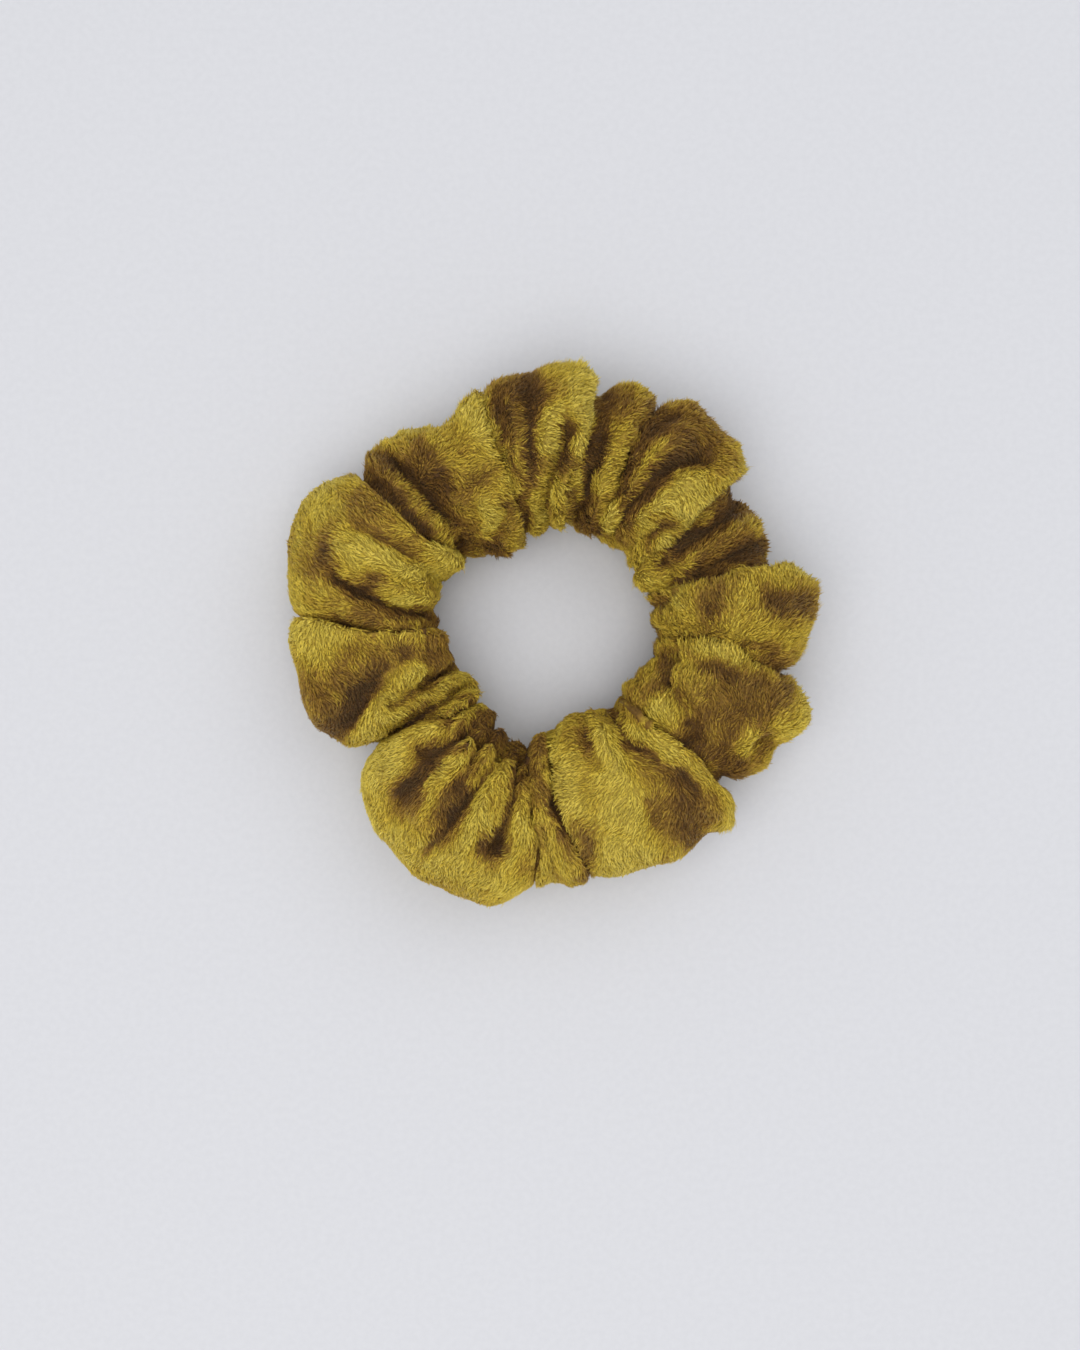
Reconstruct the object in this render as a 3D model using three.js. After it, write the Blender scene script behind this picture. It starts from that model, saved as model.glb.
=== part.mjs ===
// Velvet scrunchie: a strip of velvet sewn into a tube, gathered on a loop of flat
// elastic that runs loose inside it. It lies flat on z = 0, its hole upright.
// Millimetres, +Z up. Angles are in degrees, anticlockwise from +X seen from above.
import * as THREE from 'three';

const VELVET_WALL = 1.6; // ground cloth with its pile
const SEAM_ALLOWANCE = 5; // how deep the lengthwise seam's turned-in edges reach
const ALLOWANCE_PLY = 1.1;
const CLOSING_ALLOWANCE = 2.4; // how far the tube's turned-in ends stand inside the wall
const CLOSING_PLY = 1.6;
const SEAM_GAP = 0.4; // between two edges that a seam holds together
const SEAM_AT = 240; // the lengthwise seam, on the tube's section: under the hole side
const CLOSING_SEAM_AT = 175; // where the tube's two ends meet

const ELASTIC_RADIUS = 24.5;
const ELASTIC_WIDTH = 7;
const ELASTIC_THICK = 1;
const ELASTIC_LAP = 10; // overlap of its two ends
const ELASTIC_HEIGHT = 11; // height of the elastic's middle
const LAP_AT = 100; // middle of the overlap

const THREAD = 0.36;
const THREAD_CLEARANCE = 0.32;

const CREASE_RADIUS = 37.5; // how far out the cloth reaches between two pleats
const CREASE_HEIGHT = 20;
const SECTION_POWER = 2.3; // 2 is an ellipse, more is squarer
const SINK = 0.45; // how much of the rounded underside is pressed flat
const OUTER_STEPS = 16;
const INNER_STEPS = 8;
const RING_STEP = 3.1;
const DEGREES_PER_MM = 180 / (Math.PI * 30); // round the middle of the tube
const STEP_DOWN = 1.1; // the turned-in end slopes back to the wall over a tenth of its ply

// The big puffs between the creases, one row each, round the ring.
const PLEATS = [
  { at: 5, half: 14.5, out: 46.3, hole: 16.4, top: 24 },
  { at: 27.5, half: 11.5, out: 41.6, hole: 16.6, top: 21.5 },
  { at: 51, half: 15.5, out: 45.2, hole: 17.2, top: 24 },
  { at: 72, half: 9, out: 44, hole: 16.6, top: 22 },
  { at: 92, half: 15, out: 45, hole: 16.8, top: 24 },
  { at: 121, half: 18, out: 42.6, hole: 14.8, top: 23 },
  { at: 156, half: 21, out: 47, hole: 19.6, top: 25 },
  { at: 193, half: 21, out: 45.6, hole: 15.4, top: 24 },
  { at: 240, half: 30, out: 46.8, hole: 17.6, top: 25 },
  { at: 272.5, half: 9, out: 43.6, hole: 14.6, top: 22 },
  { at: 300, half: 23, out: 44.2, hole: 14, top: 24 },
  { at: 327, half: 9.5, out: 43, hole: 14.4, top: 22 },
  { at: 342.5, half: 11, out: 45.2, hole: 16, top: 23 },
];

const radians = THREE.MathUtils.degToRad;
const scrunchie = new THREE.Group();

function addPart(name, geometry, color, roughness) {
  geometry.computeVertexNormals();
  const material = new THREE.MeshStandardMaterial({ color, roughness, metalness: 0 });
  const mesh = new THREE.Mesh(geometry, material);
  mesh.name = name;
  scrunchie.add(mesh);
}

// Angle from one direction to another, -180 to 180.
function turnTo(from, to) {
  return ((to - from + 540) % 360) - 180;
}

// The highest of the pleats' rounded crests at this angle, or the crease between them.
function crest(angle, key, creaseValue) {
  let highest = creaseValue;
  for (const pleat of PLEATS) {
    const across = Math.abs(turnTo(pleat.at, angle)) / pleat.half;
    if (across < 1) {
      const rise = Math.pow(1 - across ** 3, 0.65);
      highest = Math.max(highest, creaseValue + (pleat[key] - creaseValue) * rise);
    }
  }
  return highest;
}

// The hole's radius, eased from each pleat's middle to the next one's.
function holeRadius(angle) {
  const turned = PLEATS.map((pleat) => (angle - pleat.at + 360) % 360);
  const last = turned.indexOf(Math.min(...turned));
  const before = PLEATS[last];
  const after = PLEATS[(last + 1) % PLEATS.length];
  const span = (after.at - before.at + 360) % 360;
  const eased = THREE.MathUtils.smoothstep(turned[last] / span, 0, 1);
  return THREE.MathUtils.lerp(before.hole, after.hole, eased);
}

// The tube's section at one angle round the ring: its middle, half width and half height.
function sectionAt(angle) {
  const hole = holeRadius(angle);
  const reach = crest(angle, 'out', CREASE_RADIUS);
  const top = crest(angle, 'top', CREASE_HEIGHT);
  return {
    radius: (hole + reach) / 2,
    height: top / 2 - SINK / 2,
    halfWidth: (reach - hole) / 2,
    halfHeight: top / 2 + SINK / 2,
    ground: 0,
  };
}

// A point of the section, `depth` inside its outer face, as [radius, height].
// The cloth lies flat on the ground where its round section would reach below it.
function sectionPoint(section, degrees, depth) {
  const along = Math.cos(radians(degrees));
  const up = Math.sin(radians(degrees));
  const power = 2 / SECTION_POWER;
  const reach = (section.halfWidth - depth) * Math.sign(along) * Math.abs(along) ** power;
  const rise = (section.halfHeight - depth) * Math.sign(up) * Math.abs(up) ** power;
  return [section.radius + reach, Math.max(section.height + rise, section.ground + depth)];
}

// A place beside the lengthwise seam: `depth` in from the outer face and `side` mm across.
function seamPoint(section, depth, side) {
  const [radius, height] = sectionPoint(section, SEAM_AT, 0);
  const toMiddle = new THREE.Vector2(section.radius - radius, section.height - height).normalize();
  return [
    radius + toMiddle.x * depth + toMiddle.y * side,
    height + toMiddle.y * depth - toMiddle.x * side,
  ];
}

function inSpace([radius, height], angle) {
  return [radius * Math.cos(radians(angle)), radius * Math.sin(radians(angle)), height];
}

// The cloth's outline across the tube: outer face, turned-in edge, inner face, turned-in edge.
function clothSection(section, depth) {
  const outerSlot = 1;
  const innerSlot = 9;
  const outline = [];
  for (let i = 0; i <= OUTER_STEPS; i++) {
    const degrees = SEAM_AT + outerSlot + ((360 - 2 * outerSlot) * i) / OUTER_STEPS;
    outline.push(sectionPoint(section, degrees, 0));
  }
  outline.push(seamPoint(section, SEAM_ALLOWANCE, -SEAM_GAP / 2));
  outline.push(seamPoint(section, SEAM_ALLOWANCE, -SEAM_GAP / 2 - ALLOWANCE_PLY));
  for (let i = INNER_STEPS; i >= 0; i--) {
    const degrees = SEAM_AT + innerSlot + ((360 - 2 * innerSlot) * i) / INNER_STEPS;
    outline.push(sectionPoint(section, degrees, depth));
  }
  outline.push(seamPoint(section, SEAM_ALLOWANCE, SEAM_GAP / 2 + ALLOWANCE_PLY));
  outline.push(seamPoint(section, SEAM_ALLOWANCE, SEAM_GAP / 2));
  return outline;
}

// A closed solid through a row of outlines that run anticlockwise round the section and
// all have the same number of points. `cap` is the end outline, with no three in line.
function loft(outlines, cap) {
  const count = outlines[0].length;
  const indices = [];
  for (let row = 0; row + 1 < outlines.length; row++) {
    for (let i = 0; i < count; i++) {
      const here = row * count + i;
      const beside = row * count + ((i + 1) % count);
      indices.push(here, beside + count, beside, here, here + count, beside + count);
    }
  }
  const faces = THREE.ShapeUtils.triangulateShape(cap, []);
  const lastRow = (outlines.length - 1) * count;
  for (const [a, b, c] of faces) {
    indices.push(a, b, c, lastRow + c, lastRow + b, lastRow + a);
  }
  const geometry = new THREE.BufferGeometry();
  geometry.setAttribute('position', new THREE.Float32BufferAttribute(outlines.flat(2), 3));
  geometry.setIndex(indices);
  return geometry;
}

// The cover: the cloth's section carried round the ring, its ends turned in at the closing seam.
function velvetCover() {
  const start = CLOSING_SEAM_AT + (SEAM_GAP / 2) * DEGREES_PER_MM;
  const end = CLOSING_SEAM_AT + 360 - (SEAM_GAP / 2) * DEGREES_PER_MM;
  const ply = CLOSING_PLY * DEGREES_PER_MM;
  const turnedIn = VELVET_WALL + CLOSING_ALLOWANCE;
  const stations = [
    [start, turnedIn],
    [start + ply, turnedIn],
  ];
  const first = start + ply * STEP_DOWN;
  const last = end - ply * STEP_DOWN;
  const steps = Math.round((last - first) / RING_STEP);
  for (let i = 0; i <= steps; i++) {
    stations.push([first + ((last - first) * i) / steps, VELVET_WALL]);
  }
  stations.push([end - ply, turnedIn], [end, turnedIn]);
  const rows = stations.map(([angle, depth]) =>
    clothSection(sectionAt(angle), depth).map((point) => inSpace(point, angle)),
  );
  const roundSection = { ...sectionAt(start), ground: -SINK * 2 };
  const cap = clothSection(roundSection, turnedIn).map(([x, y]) => new THREE.Vector2(x, y));
  return loft(rows, cap);
}

// A flat strip bent into a loop, one end lapped over the other.
function elasticBand() {
  const lapDegrees = ELASTIC_LAP / radians(ELASTIC_RADIUS);
  const stepOut = ELASTIC_THICK + THREAD_CLEARANCE;
  const easeOver = 14;
  const start = LAP_AT - lapDegrees / 2;
  const total = 360 + lapDegrees;
  const steps = 84;
  const half = ELASTIC_WIDTH / 2;
  const rows = [];
  for (let i = 0; i <= steps; i++) {
    const turned = (total * i) / steps;
    const eased = THREE.MathUtils.smoothstep(turned, total - lapDegrees - easeOver, total - lapDegrees);
    const inside = ELASTIC_RADIUS - ELASTIC_THICK / 2 + stepOut * eased;
    const outline = [
      [inside, ELASTIC_HEIGHT - half],
      [inside + ELASTIC_THICK, ELASTIC_HEIGHT - half],
      [inside + ELASTIC_THICK, ELASTIC_HEIGHT + half],
      [inside, ELASTIC_HEIGHT + half],
    ];
    rows.push(outline.map((point) => inSpace(point, start + turned)));
  }
  const cap = [[0, 0], [1, 0], [1, 1], [0, 1]].map(([x, y]) => new THREE.Vector2(x, y));
  return loft(rows, cap);
}

function thread(points, steps) {
  const places = points.map((point) => new THREE.Vector3(...point));
  const section = new THREE.Shape();
  section.absarc(0, 0, THREAD / 2, 0, Math.PI * 2);
  return new THREE.ExtrudeGeometry(section, {
    curveSegments: 3,
    steps,
    bevelEnabled: false,
    extrudePath: new THREE.CatmullRomCurve3(places),
  });
}

// Zigzag stitches through the elastic's lap: `radius` is that of the face they lie on.
function lapThread(radius) {
  const stitches = 10;
  const halfHeight = ELASTIC_WIDTH / 2 - 1.2;
  const halfTurn = (ELASTIC_LAP / 2 - 1) / radians(radius);
  const points = [];
  for (let i = 0; i <= stitches; i++) {
    const height = ELASTIC_HEIGHT + (i % 2 === 0 ? -halfHeight : halfHeight);
    points.push(inSpace([radius, height], LAP_AT + halfTurn * ((2 * i) / stitches - 1)));
  }
  return thread(points, stitches * 3);
}

// The lengthwise seam's thread on one side of its turned-in edges.
function casingThread(side) {
  const depth = SEAM_ALLOWANCE - 1.3;
  const offset = side * (SEAM_GAP / 2 + ALLOWANCE_PLY + 2 * THREAD_CLEARANCE + THREAD / 2);
  const clearOfEnds = 6;
  const count = 80;
  const points = [];
  for (let i = 0; i <= count; i++) {
    const angle = CLOSING_SEAM_AT + clearOfEnds + ((360 - 2 * clearOfEnds) * i) / count;
    points.push(inSpace(seamPoint(sectionAt(angle), depth, offset), angle));
  }
  return thread(points, count);
}

// The closing seam's thread on one side of the two turned-in ends.
function closingThread(side) {
  const behind = SEAM_GAP / 2 + CLOSING_PLY * STEP_DOWN + 2 * THREAD_CLEARANCE + THREAD / 2;
  const angle = CLOSING_SEAM_AT + side * behind * DEGREES_PER_MM;
  const section = sectionAt(angle);
  const depth = VELVET_WALL + CLOSING_ALLOWANCE / 2;
  const clearOfSeam = 30;
  const count = 26;
  const points = [];
  for (let i = 0; i <= count; i++) {
    const degrees = SEAM_AT + clearOfSeam + ((360 - 2 * clearOfSeam) * i) / count;
    points.push(inSpace(sectionPoint(section, degrees, depth), angle));
  }
  return thread(points, count);
}

const insideLap = ELASTIC_RADIUS - ELASTIC_THICK / 2 - THREAD_CLEARANCE - THREAD / 2;
const outsideLap = ELASTIC_RADIUS + ELASTIC_THICK * 1.5 + 2 * THREAD_CLEARANCE + THREAD / 2;

addPart('velvet_cover', velvetCover(), '#84692a', 0.85);
addPart('elastic_band', elasticBand(), '#efece4', 0.9);
addPart('elastic_join_needle_thread', lapThread(outsideLap), '#d8d2c2', 0.7);
addPart('elastic_join_bobbin_thread', lapThread(insideLap), '#d8d2c2', 0.7);
addPart('casing_seam_needle_thread', casingThread(1), '#7d6427', 0.7);
addPart('casing_seam_bobbin_thread', casingThread(-1), '#7d6427', 0.7);
addPart('closing_seam_needle_thread', closingThread(1), '#7d6427', 0.7);
addPart('closing_seam_bobbin_thread', closingThread(-1), '#7d6427', 0.7);

export default scrunchie;
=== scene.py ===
"""A small crushed-velvet scrunchie lying flat: the visual model and its studio.

The ring lies on z = 0 with its hole upright. Angles are in degrees, anticlockwise from +X seen
from above. Shapes are worked out in millimetres and stored in metres.
"""
import math

import bpy
import numpy as np
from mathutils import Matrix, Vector


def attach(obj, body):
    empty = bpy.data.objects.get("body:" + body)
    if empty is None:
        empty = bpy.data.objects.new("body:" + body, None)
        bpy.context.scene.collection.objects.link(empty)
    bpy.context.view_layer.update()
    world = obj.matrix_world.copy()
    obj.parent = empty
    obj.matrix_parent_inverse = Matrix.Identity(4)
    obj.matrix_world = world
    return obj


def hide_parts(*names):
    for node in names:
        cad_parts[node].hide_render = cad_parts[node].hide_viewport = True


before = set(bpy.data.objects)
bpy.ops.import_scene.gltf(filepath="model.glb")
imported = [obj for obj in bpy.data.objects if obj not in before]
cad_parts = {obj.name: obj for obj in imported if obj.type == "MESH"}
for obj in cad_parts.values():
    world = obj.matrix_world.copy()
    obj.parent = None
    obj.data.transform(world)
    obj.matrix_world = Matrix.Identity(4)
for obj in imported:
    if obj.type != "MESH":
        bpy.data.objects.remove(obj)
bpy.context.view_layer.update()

MM = 0.001

# ---------------------------------------------------------------- the cover's driving sizes
CLOTH_THICK = 0.55  # the woven ground, without its pile
SECTION_POWER = 2.3  # 2 is an ellipse, more is squarer
MEAN_RADIUS = 31.0
SEAM_AT = 240.0  # the lengthwise seam, on the tube's section: underneath, beside the hole
SEAM_ALLOWANCE = 5.0
SEAM_GAP = 0.5
PRESSED = 0.8  # the underside is pressed flat this far up
PRESS_ROUNDING = 1.2
PILE_RISE = 0.6  # how far the leaning pile stands above the ground cloth
COLUMNS = 532
ROWS = 84
ALLOWANCE_ROWS = 4
PLEATS = 38  # gathers at the elastic
FINE_PLEATS = 95
ELASTIC_CLEARANCE = 0.4
BLUR_STEPS = 14

# The tables below are drawn on the ring as it looks from EYE above it: a fold on top of the
# ring looks a little further out than one at MID_HEIGHT.
EYE = 267.0
MID_HEIGHT = 12.0

# The big creases, from the closing seam on. Each is a depth in mm, the shoulder radius of the
# puff before it and of the puff after it, how far it runs in under the puff after it (or, below
# zero, the one before it) for each mm of depth, and its (angle, radius) course, rim to hole.
# FADING says which of them fade out at the rim, and the share of their depth left there.
CREASES = [
    (7, 3, 1.5, 0.4, [(175.2, 44), (174.8, 39), (176.4, 34), (177.6, 29), (177, 24), (176.5, 18)]),
    (7, 4, 4.8, 0, [(212, 38), (212.5, 33), (213.4, 30), (217.5, 26), (221, 20), (223.5, 15.5)]),
    (4.2, 2.8, 2.2, 0, [(266.8, 42), (267.8, 37), (266.2, 33), (264.6, 28), (262.6, 23), (261, 17)]),
    (5, 3, 1.4, 0.5, [(278.6, 42), (275.6, 37), (272.4, 32), (270, 28), (268.8, 24), (268, 16)]),
    (7, 1.8, 3.4, -0.5, [(320.5, 39.5), (321.8, 36), (322.8, 32), (321.6, 28), (321, 23), (321.5, 15)]),
    (6.5, 1.5, 3.6, -0.5, [(351.4, 41), (353.4, 37.5), (356.2, 33), (358.6, 29), (359.6, 24), (358, 17)]),
    (7, 1.5, 4.8, -0.6, [(378.2, 41.5), (380, 38), (379.8, 34.5), (379.4, 31), (380.4, 26), (381.4, 18)]),
    (7, 4.8, 1.5, 0.6, [
        (398.4, 41), (398, 37), (397.2, 32.5), (395.4, 29), (395.6, 26), (398, 23.5), (398.5, 18),
    ]),
    (6.5, 2.4, 2.6, -0.2, [(425, 43.5), (426.4, 39), (426.6, 34), (426.2, 29), (425.4, 25), (426.5, 18)]),
    (6.5, 4.4, 1.5, 0.5, [
        (438.2, 43), (437.6, 38.5), (437.6, 33), (439, 29.5), (440.6, 27), (442.2, 23), (443, 18),
    ]),
    (6.5, 3.6, 1.5, 0.5, [(464.8, 43), (465, 38), (464.6, 33), (463.4, 28), (462.8, 23), (464, 15.5)]),
    (8, 3.6, 1.4, 0.5, [
        (499, 43), (499.6, 38.5), (500.2, 33), (500.6, 28.5), (499.4, 24.5), (497, 20), (496, 17.5),
    ]),
]

FADING = {2: 0.35, 3: 0.2}

# The outline seen from above: (angle, radius) of the rim and of the hole.
RIM = [
    (352, 40.6), (356, 42.8), (1, 44), (6, 45.6), (9.5, 46.2), (13, 45), (17, 42.6), (20, 40.8),
    (24, 40.8), (28, 40), (33, 40.8), (36, 40.6), (39, 41.8), (41.5, 43.6), (45, 44.9), (50, 44.3),
    (55, 44.8), (58.5, 45.6), (62, 44.6), (65, 43.2), (68, 43.9), (71, 44.4), (75, 44.2), (78, 43.4),
    (80.5, 44.6), (84, 45.4), (88, 44.5), (96, 44.3), (103, 43.6), (107, 43.6), (110.5, 43),
    (114.5, 40.2), (118, 39.9), (122, 41.6), (126, 43.4), (130, 42.9), (134, 42.7), (138, 42.5),
    (142, 44), (147, 46.3), (152, 47.3), (157, 46.7), (165, 45.3), (175, 44.3), (181, 43.9),
    (188, 42.5), (193, 42.7), (198, 43.3), (203, 42.1), (208, 40.2), (211.5, 37.8), (214, 38.3),
    (217, 40.5), (222, 42.4), (228, 43.7), (234, 44.6), (240, 45.5), (249, 46), (257, 46.5),
    (261, 45.8), (265, 43.6), (269, 42.2), (275, 42.3), (280, 42.2), (287, 42.6), (295, 42.4),
    (301, 42.8), (309, 43.2), (313.6, 45), (316.5, 43.6), (319, 41), (321, 39.4), (324, 41.6),
    (328.5, 43.2), (331.5, 42.9), (334, 42.8), (337, 44.2), (341, 45.7), (345, 44.9), (348.5, 42.9),
]
HOLE = [
    (0, 17), (6, 16.6), (13, 17.4), (25, 17.2), (35, 17.4), (50, 18.2), (62, 17.6), (74, 18.3),
    (84, 18), (95, 17), (107, 15.3), (116, 14.9), (126, 16.3), (137, 17.6), (148, 18.8), (158, 19.6),
    (166, 19.6), (172, 18.1), (180, 16.4), (190, 16.1), (200, 15.6), (209, 13.9), (220, 14),
    (229, 14.5), (235, 14.9), (240, 17.4), (250, 18), (258, 18), (263, 16.6), (270, 15.3), (277, 14.3),
    (284, 13.3), (290, 12.9), (297, 13.3), (306, 14.7), (317, 14.8), (327, 14.5), (334, 15.2),
    (342, 16.6), (350, 17.4),
]
# How high the cloth stands: (angle, height).
CREST = [
    (3, 24), (12, 23.4), (18, 22.6), (22, 19.8), (28, 19.2), (35, 19.6), (40, 22.6), (46, 24),
    (58, 23.4), (65, 22.4), (70, 22), (76, 20.8), (80, 23.4), (92, 24), (101, 22.6), (106, 23.2),
    (116, 22.6), (124, 22.2), (131, 20.8), (137, 19.6), (142, 23.6), (156, 24.6), (170, 23.4),
    (174, 22.6), (178, 23.8), (192, 23.6), (205, 21.8), (212, 20.6), (222, 23), (240, 24.8),
    (256, 24.6), (264, 22.6), (271, 21), (276, 22.4), (295, 23.8), (310, 23.6), (318, 22.8),
    (324, 21.6), (330, 22), (341, 23.6), (350, 22.8), (355, 22),
]

# Smaller folds on the upper side. Each is a depth and half width in mm, and its (angle, radius)
# course. Below zero, the depth is the height of a ridge.
FOLDS = [
    (0.5, 2.4, [(7.4, 43), (7.6, 37.5)]),
    (0.6, 1.8, [(2.5, 26.5), (9, 28), (16, 30)]),
    (1.4, 1, [(11, 20.4), (15, 19.6), (19, 20.6)]),
    (2.2, 1.8, [(23.4, 39.5), (23.6, 30), (23.4, 22)]),
    (2.6, 1.7, [(33.8, 39.5), (33.4, 34), (32.2, 29), (31.8, 22)]),
    (-0.8, 1.2, [(28.8, 36), (28.6, 32), (27.6, 28), (27.4, 21)]),
    (3, 1.7, [(49, 40), (53.4, 35.5), (56.8, 31), (57.4, 26), (57.8, 19)]),
    (-0.9, 1, [(54, 39.5), (58, 35), (60.4, 30), (60.6, 25), (61.5, 20)]),
    (2, 1.6, [(60.5, 42), (63, 37), (63.6, 30), (63.6, 24)]),
    (2.2, 1.3, [(40.2, 28.5), (44, 25.5), (46.4, 21), (47, 17.5)]),
    (1, 0.9, [(41.5, 23), (43, 18)]),
    (1.8, 1.8, [(74.5, 40), (74.8, 30), (74, 22)]),
    (1.8, 0.9, [(76.6, 27.5), (75.4, 22.5), (75, 18)]),
    (1.4, 0.8, [(80.6, 24.5), (79.4, 20.5), (79, 18)]),
    (2.8, 1.2, [(84.4, 34.5), (85.8, 31), (87.6, 27.5), (90.5, 23.5), (92, 19)]),
    (1.5, 1.8, [(94.6, 42.5), (95.4, 36), (95.4, 30), (97, 25), (99.6, 20), (100.6, 17)]),
    (1.6, 1.2, [(102.4, 39), (102.8, 33)]),
    (-0.8, 1, [(98.6, 39), (99.6, 33), (99.2, 27)]),
    (1.2, 1.5, [(106.5, 30), (112, 28), (119, 27.5), (126, 30.5)]),
    (1.6, 2, [(128.2, 39), (127.6, 32), (127, 25), (125.5, 20)]),
    (1.4, 1, [(117.5, 17.8), (122, 17.2), (126, 18)]),
    (1.2, 1, [(108, 22.5), (112, 20), (116, 19.2)]),
    (3, 1.2, [(131.6, 39.6), (131.8, 34), (131.4, 27), (132, 21), (133, 17)]),
    (1.6, 0.9, [(133, 22), (135, 20), (137, 20.5)]),
    (-0.8, 1.2, [(134.6, 36), (134.8, 29), (133.4, 24)]),
    (1, 2.2, [(144.8, 40), (146, 34), (147.6, 28)]),
    (1.4, 1.2, [(151.6, 36), (151, 30), (150.6, 25), (152.2, 20)]),
    (1.2, 1.5, [(160.2, 33), (162.4, 30.8), (166.4, 31), (167.4, 32.8)]),
    (1.1, 1.1, [(160, 31), (159.4, 25), (159.2, 20)]),
    (2.8, 1.4, [(165.6, 37), (167.4, 33), (169, 29), (170.8, 24.5), (172.6, 19)]),
    (0.6, 1.6, [(158, 42), (161, 39.5), (165, 40.5)]),
    (0.9, 1.2, [(183, 37), (184.5, 30), (184, 24)]),
    (1.6, 1, [(180.5, 20.8), (188, 20.2), (196, 20.6), (201.5, 21.5)]),
    (2.4, 1.6, [(203.4, 38), (199, 33.5), (194, 28.5), (189.6, 24)]),
    (-0.9, 1.5, [(205, 33.5), (199.6, 29), (194, 24.6)]),
    (2.6, 0.9, [(203.6, 29), (202.4, 24.5), (201, 19.5), (200.2, 16)]),
    (1.5, 0.8, [(207, 27), (206.8, 22)]),
    (3.4, 1.1, [(212, 30.4), (211.2, 26), (211.8, 20), (211, 14.5)]),
    (2.6, 2.3, [(227.4, 37.6), (228, 34), (230, 30.2)]),
    (2.6, 1.7, [(224.2, 29), (227.6, 26), (229.4, 22), (231.5, 18)]),
    (-0.8, 0.8, [(221.5, 30.5), (226, 30.2), (230.8, 30.6)]),
    (-1.4, 1.1, [(232.6, 37), (233.2, 30), (233.6, 22.5)]),
    (2.2, 2, [(240, 35), (241, 31), (240.6, 26.5)]),
    (1.8, 0.9, [(241.2, 41.4), (242.2, 39), (243.4, 34), (245.2, 30), (246.4, 25), (247, 21)]),
    (-0.8, 1.1, [(248.4, 41), (248.6, 33), (248.8, 24)]),
    (-0.9, 0.8, [(242, 29), (242.8, 23.5)]),
    (1.1, 0.6, [(250.8, 39), (250.8, 32), (250.4, 27)]),
    (1.6, 2.4, [(252.6, 37.4), (257.4, 36.4)]),
    (2.8, 1.1, [(255.4, 37.6), (257, 33.5), (257.2, 28), (256.6, 23), (256, 18.5)]),
    (-1, 1, [(260.4, 38), (259.4, 31), (259, 25)]),
    (1.6, 0.8, [(250, 24.5), (249.5, 20), (249, 17.8)]),
    (1.6, 0.8, [(237.5, 24), (238.5, 20)]),
    (1.8, 0.9, [(232.5, 20.8), (240, 20.6), (248, 20.2), (256, 20.4)]),
    (1.2, 1, [(263.5, 30), (262.5, 25), (262, 20)]),
    (1.2, 0.9, [(271.5, 41), (269.8, 36), (268, 32.5)]),
    (0.8, 1.3, [(281.6, 38.5), (280.6, 35), (279, 31.5)]),
    (1.6, 1.1, [(292, 23), (290.4, 20), (290, 15)]),
    (0.9, 1.6, [(299, 38), (301, 30), (302, 22)]),
    (2.4, 1.9, [(313.8, 36), (313.2, 32), (310.2, 29), (307.6, 25), (306.8, 20), (306.6, 15.5)]),
    (1.2, 2.2, [(305.5, 40), (307.5, 35)]),
    (0.6, 0.8, [(314.6, 22), (315.2, 17)]),
    (1.8, 1.6, [(327.6, 40.6), (331.4, 40), (335, 40.8)]),
    (-0.8, 1, [(327, 40), (330.6, 37.2), (335.4, 38), (338, 41)]),
    (0.9, 2.4, [(324, 36.5), (325, 31.5), (329, 29)]),
    (1, 1.2, [(323, 29.8), (328.4, 27), (334, 23), (339, 19)]),
    (-0.8, 1.1, [(323.6, 27), (328.6, 24), (335, 19.5)]),
    (1, 2.4, [(345, 39), (347, 33), (346, 28)]),
    (1.8, 0.9, [(337.5, 20.2), (344, 20.4), (351, 20.8)]),
]
# The ledge where the cloth of one puff folds over the flap behind it.
LEDGE = [(105.5, 42.4), (109, 41.2), (113.5, 39), (118, 38.4), (124, 39.5), (130, 41.6)]
LEDGE_DEPTH = 2.6

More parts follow.
